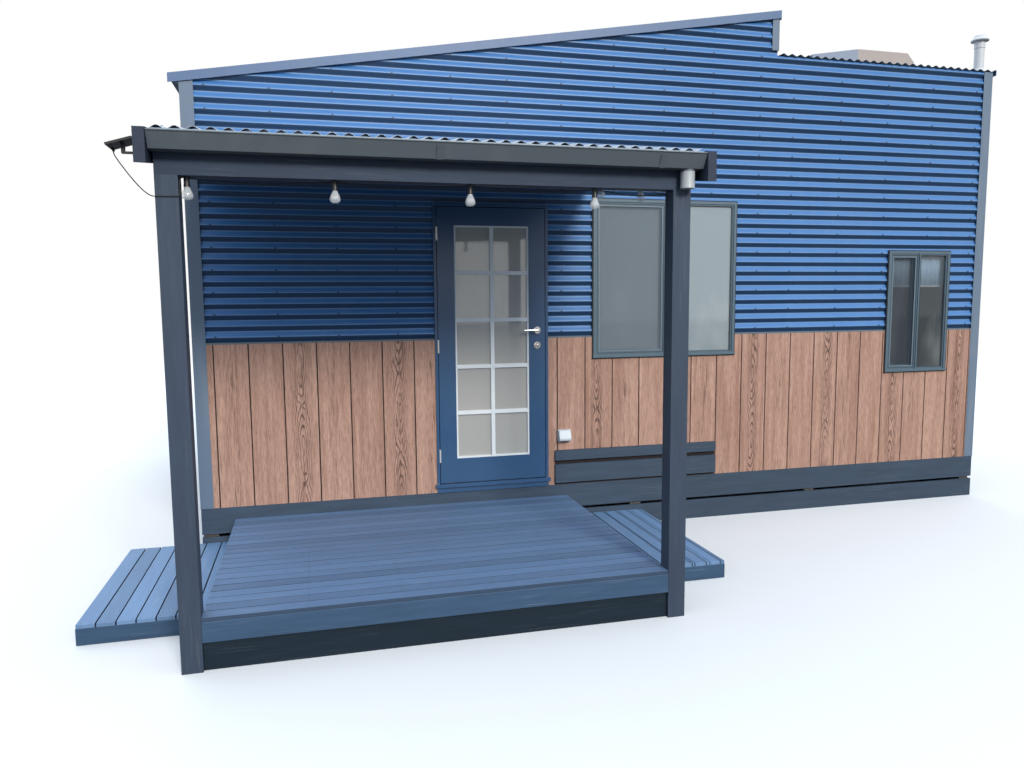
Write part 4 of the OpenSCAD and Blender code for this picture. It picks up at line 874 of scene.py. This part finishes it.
def makeFittings(s):
    bm = bmesh.new()
    width, depth, top = s["panelSize"]
    margin, gap = s["margin"], s["cellGap"]
    across, along = ([k * (size - 2 * margin) / count + margin for k in range(count + 1)]
                     for size, count in zip((width, depth), s["cells"]))
    for x0, x1 in zip(across, across[1:]):
        for y0, y1 in zip(along, along[1:]):
            addBox(bm, (x0, y0, top - s["cellLow"]), (x1 - gap, y1 - gap, top + s["cellUp"]))
    turn = Matrix.Translation(s["panelCorner"]) @ Matrix.Rotation(-s["panelTilt"], 4, "Y")
    bmesh.ops.transform(bm, matrix=turn, verts=bm.verts)
    putPiece("solarCells", meshFrom(bm, "solarCells"), "cellBlue")
    cylinder, slot = bmesh.new(), bmesh.new()
    addTurned(cylinder, s["lock"], (0, -1, 0), s["cylinder"], 24)
    x, y, z = s["lock"]
    w, d, h = s["slot"]
    # painted shade: a thin black block on the cylinder's face for the dark keyhole
    addBox(slot, (x - w, y - d, z - h), (x + w, y, z + h))
    putPiece("lockCylinder", meshFrom(cylinder, "lockCylinder", 40), "brightMetal", "door")
    putPiece("lockSlot", meshFrom(slot, "lockSlot"), "blackPlastic", "door")


makeFittings(smallFittings)
print("boards, nails and fittings made")

# Rings round the windows: black ring behind the frame as painted shade in its gap, black gasket, and pale
# bead at each light as painted highlight
windowRings = {
    "frameY": -2.109, "face": 0.032, "sash": 0.016, "windows": ("largeWindow", "smallWindow"),
    "frameGapShade": {"inset": 0.001, "width": 0.009, "depth": (0.004, 0.016)},
    "gasket": {"inset": 0.004, "width": 0.0035, "depth": (0.0085, 0.0105)},
    "leftBead": {"inset": 0.0045, "width": 0.004, "depth": (0.0098, 0.0125)},
    "rightBead": {"inset": 0.0045, "width": 0.004, "depth": (0.0095, 0.0125)},
}


# A flat ring on the edges x0, z0, x1, z1 of an opening in a wall that faces -Y
def addRing(bm, edges, ring, y):
    inset, width, (y0, y1) = ring["inset"], ring["width"], (y + d for d in ring["depth"])
    x0, z0, x1, z1 = edges[0] + inset, edges[1] + inset, edges[2] - inset, edges[3] - inset
    addBox(bm, (x0 - width, y0, z0 - width), (x0, y1, z1 + width))
    addBox(bm, (x1, y0, z0 - width), (x1 + width, y1, z1 + width))
    addBox(bm, (x0, y0, z0 - width), (x1, y1, z0))
    addBox(bm, (x0, y0, z1), (x1, y1, z1 + width))


def makeWindowRings(s):
    black, bright = bmesh.new(), bmesh.new()
    y, face = s["frameY"], s["face"]
    for (x, z), width, height in (openings[name] for name in s["windows"]):
        # painted shade: a black ring in the gap between frame and cladding
        addRing(black, (x, z, x + width, z + height), s["frameGapShade"], y)
        light = (width - 3 * face) / 2
        for start, sash, bead in ((x + face, s["sash"], "leftBead"), (x + face * 2 + light, 0, "rightBead")):
            addRing(black, (start, z + face, start + light, z + height - face), s["gasket"], y)
            glazed = (start + sash, z + face + sash, start + light - sash, z + height - face - sash)
            # painted highlight: the beads are paler than the frame, for light caught on their edges
            addRing(bright, glazed, s[bead], y)
    putPiece("windowGapShadeAndGaskets", meshFrom(black, "windowGapShadeAndGaskets"), "blackPlastic")
    putPiece("windowBeadHighlights", meshFrom(bright, "windowBeadHighlights"), "beadHighlight")


makeWindowRings(windowRings)

# Gutter joiners as thin sleeves over the leaning front, a pale rod on the lip as painted highlight, and the
# pale sleeve of the outlet
gutterTrim = {
    "joiners": (-1.850, -0.690), "joinerWidth": 0.034, "proud": 0.0022, "back": -3.897, "low": 2.465,
    "foot": 0.078, "strap": 0.060, "lean": 0.557, "outlet": (-0.525, -3.936, 2.3665),
    "metal": 0.0015, "inner": 0.020, "footOut": 0.6,
    "lipFrom": (-3.140, -4.0108, 2.5435), "lipRadius": 0.0032, "lipLength": 2.670,
    "sleeve": [(0.0345, 0), (0.0385, 0), (0.0385, 0.004), (0.0378, 0.006), (0.0378, 0.086)],
}


def makeGutterTrim(s):
    bm = bmesh.new()
    p = s["proud"]
    foot, strap = s["foot"], s["strap"]
    rows = [(s["inner"], -p), (foot + p * s["footOut"], -p), (foot + strap * s["lean"] + p, strap)]
    for middle in s["joiners"]:
        sides = [[bm.verts.new((middle + dx, s["back"] - w, s["low"] + h)) for w, h in rows]
                 for dx in (-s["joinerWidth"] / 2, s["joinerWidth"] / 2)]
        for i in range(len(rows) - 1):
            bm.faces.new((sides[0][i], sides[1][i], sides[1][i + 1], sides[0][i + 1]))
    joiners = putPiece("gutterJoiners", meshFrom(bm, "gutterJoiners"), "gutterGrey")
    thicken(joiners, s["metal"], 0)
    # painted highlight: a pale rod along the gutter's lip, for the light line on its bead
    lip = bmesh.new()
    addTurned(lip, s["lipFrom"], (1, 0, 0), [(s["lipRadius"], 0), (s["lipRadius"], s["lipLength"])], 12)
    putPiece("gutterLipHighlight", meshFrom(lip, "gutterLipHighlight", 40), "lipHighlight")
    sleeve = bmesh.new()
    addTurned(sleeve, s["outlet"], (0, 0, 1), s["sleeve"], 48)
    putPiece("outletSleeve", meshFrom(sleeve, "outletSleeve", 40), "palePlastic")


makeGutterTrim(gutterTrim)
print("window rings and gutter trim made")

# Pale floor and soft light; the floor throws back less light than a camera sees on it
studio = {
    "sun": 2.5, "sunAngle": 16, "sunFrom": (0.22, -1.0, 0.55), "sunColour": (1.0, 0.95, 0.88),
    "fill": 0.7, "fillAngle": 70, "fillFrom": (-0.4, 1.0, 0.9), "fillColour": (0.88, 0.94, 1.0),
    "horizon": (0.34, 0.38, 0.44), "zenith": (1.00, 1.18, 1.42), "zenithAt": 0.55,
    "floorColour": (0.80, 0.80, 0.79), "floorRoughness": 0.85, "floorBounce": (0.13, 0.13, 0.12, 1),
    "floorReach": 60, "floorWhitens": (90, 420),  # squares of the distances from the middle
}


def addSun(name, energy, angle, direction, colour):
    data = bpy.data.lights.new(name, "SUN")
    data.energy = energy
    data.angle = math.radians(angle)
    data.color = colour
    lamp = bpy.data.objects.new(name, data)
    lamp.rotation_mode = "QUATERNION"
    lamp.rotation_quaternion = Vector(direction).to_track_quat("Z", "Y")
    bpy.context.scene.collection.objects.link(lamp)


# Sky that grows brighter upwards; a camera and glossy surfaces see it white
def makeSky(s):
    world = bpy.data.worlds.new("studio")
    world.use_nodes = True
    tree = world.node_tree

    def node(kind, inputs=(), output=0, **settings):
        made = tree.nodes.new(kind)
        for key, value in settings.items():
            setattr(made, key, value)
        for key, value in inputs:
            if hasattr(value, "is_output"):
                tree.links.new(value, made.inputs[key])
            else:
                made.inputs[key].default_value = value
        return made.outputs[output]

    place = node("ShaderNodeTexCoord")
    height = node("ShaderNodeSeparateXYZ", [(0, place)], 2)
    share = node("ShaderNodeMapRange", [(0, height), (1, 0.0), (2, s["zenithAt"]), (3, 0.0), (4, 1.0)])
    low, high = ((*s[key], 1) for key in ("horizon", "zenith"))
    shade = node("ShaderNodeMix", [(0, share), (6, low), (7, high)], 2, data_type="RGBA")
    sky = node("ShaderNodeBackground", [(0, shade), (1, 1.0)])
    blank = node("ShaderNodeBackground", [(0, (1, 1, 1, 1)), (1, 1.0)])
    kinds = ("Is Camera Ray", "Is Transmission Ray", "Is Glossy Ray")
    seen, through, glossy = (node("ShaderNodeLightPath", output=kind) for kind in kinds)
    straight = node("ShaderNodeMath", [(0, seen), (1, through)], operation="MAXIMUM")
    isBlank = node("ShaderNodeMath", [(0, straight), (1, glossy)], operation="MAXIMUM")
    choice = node("ShaderNodeMixShader", [(0, isBlank), (1, sky), (2, blank)])
    tree.links.new(choice, tree.nodes["World Output"].inputs["Surface"])
    bpy.context.scene.world = world


def makeStudio(s):
    mesh = bpy.data.meshes.new("floor")
    far = s["floorReach"]
    mesh.from_pydata([(-far, -far, 0), (far, -far, 0), (far, far, 0), (-far, far, 0)], [], [(0, 1, 2, 3)])
    floor = bpy.data.objects.new("floor", mesh)
    bpy.context.scene.collection.objects.link(floor)
    f = Finish("paleFloor")
    shade = f.mix(f.noise(4, detail=2), tinted(s["floorColour"], 0.99), s["floorColour"])
    f.set(Base_Color=shade, Roughness=s["floorRoughness"])
    kinds = "Is Camera Ray", "Is Transmission Ray"
    seen, through = (f.node("ShaderNodeLightPath", output=kind) for kind in kinds)
    seen = seen + through > 0.5
    x, y = f.along(0), f.along(1)
    away = f.fade(x * x + y * y, *s["floorWhitens"])
    blank = f.node("ShaderNodeEmission", inputs={"Color": (1, 1, 1, 1), "Strength": 1.0})
    dull = f.node("ShaderNodeBsdfDiffuse", inputs={"Color": s["floorBounce"]})
    lit = f.node("ShaderNodeMixShader", inputs={0: away * seen, 1: Value(f, f.shader.outputs[0]), 2: blank})
    f.feed(f.output.inputs["Surface"], f.node("ShaderNodeMixShader", inputs={0: seen, 1: dull, 2: lit}))
    mesh.materials.append(f.material)
    addSun("sun", s["sun"], s["sunAngle"], s["sunFrom"], s["sunColour"])
    addSun("fill", s["fill"], s["fillAngle"], s["fillFrom"], s["fillColour"])
    makeSky(s)
    bpy.context.scene.view_settings.view_transform = "Standard"


makeStudio(studio)
print("studio made")
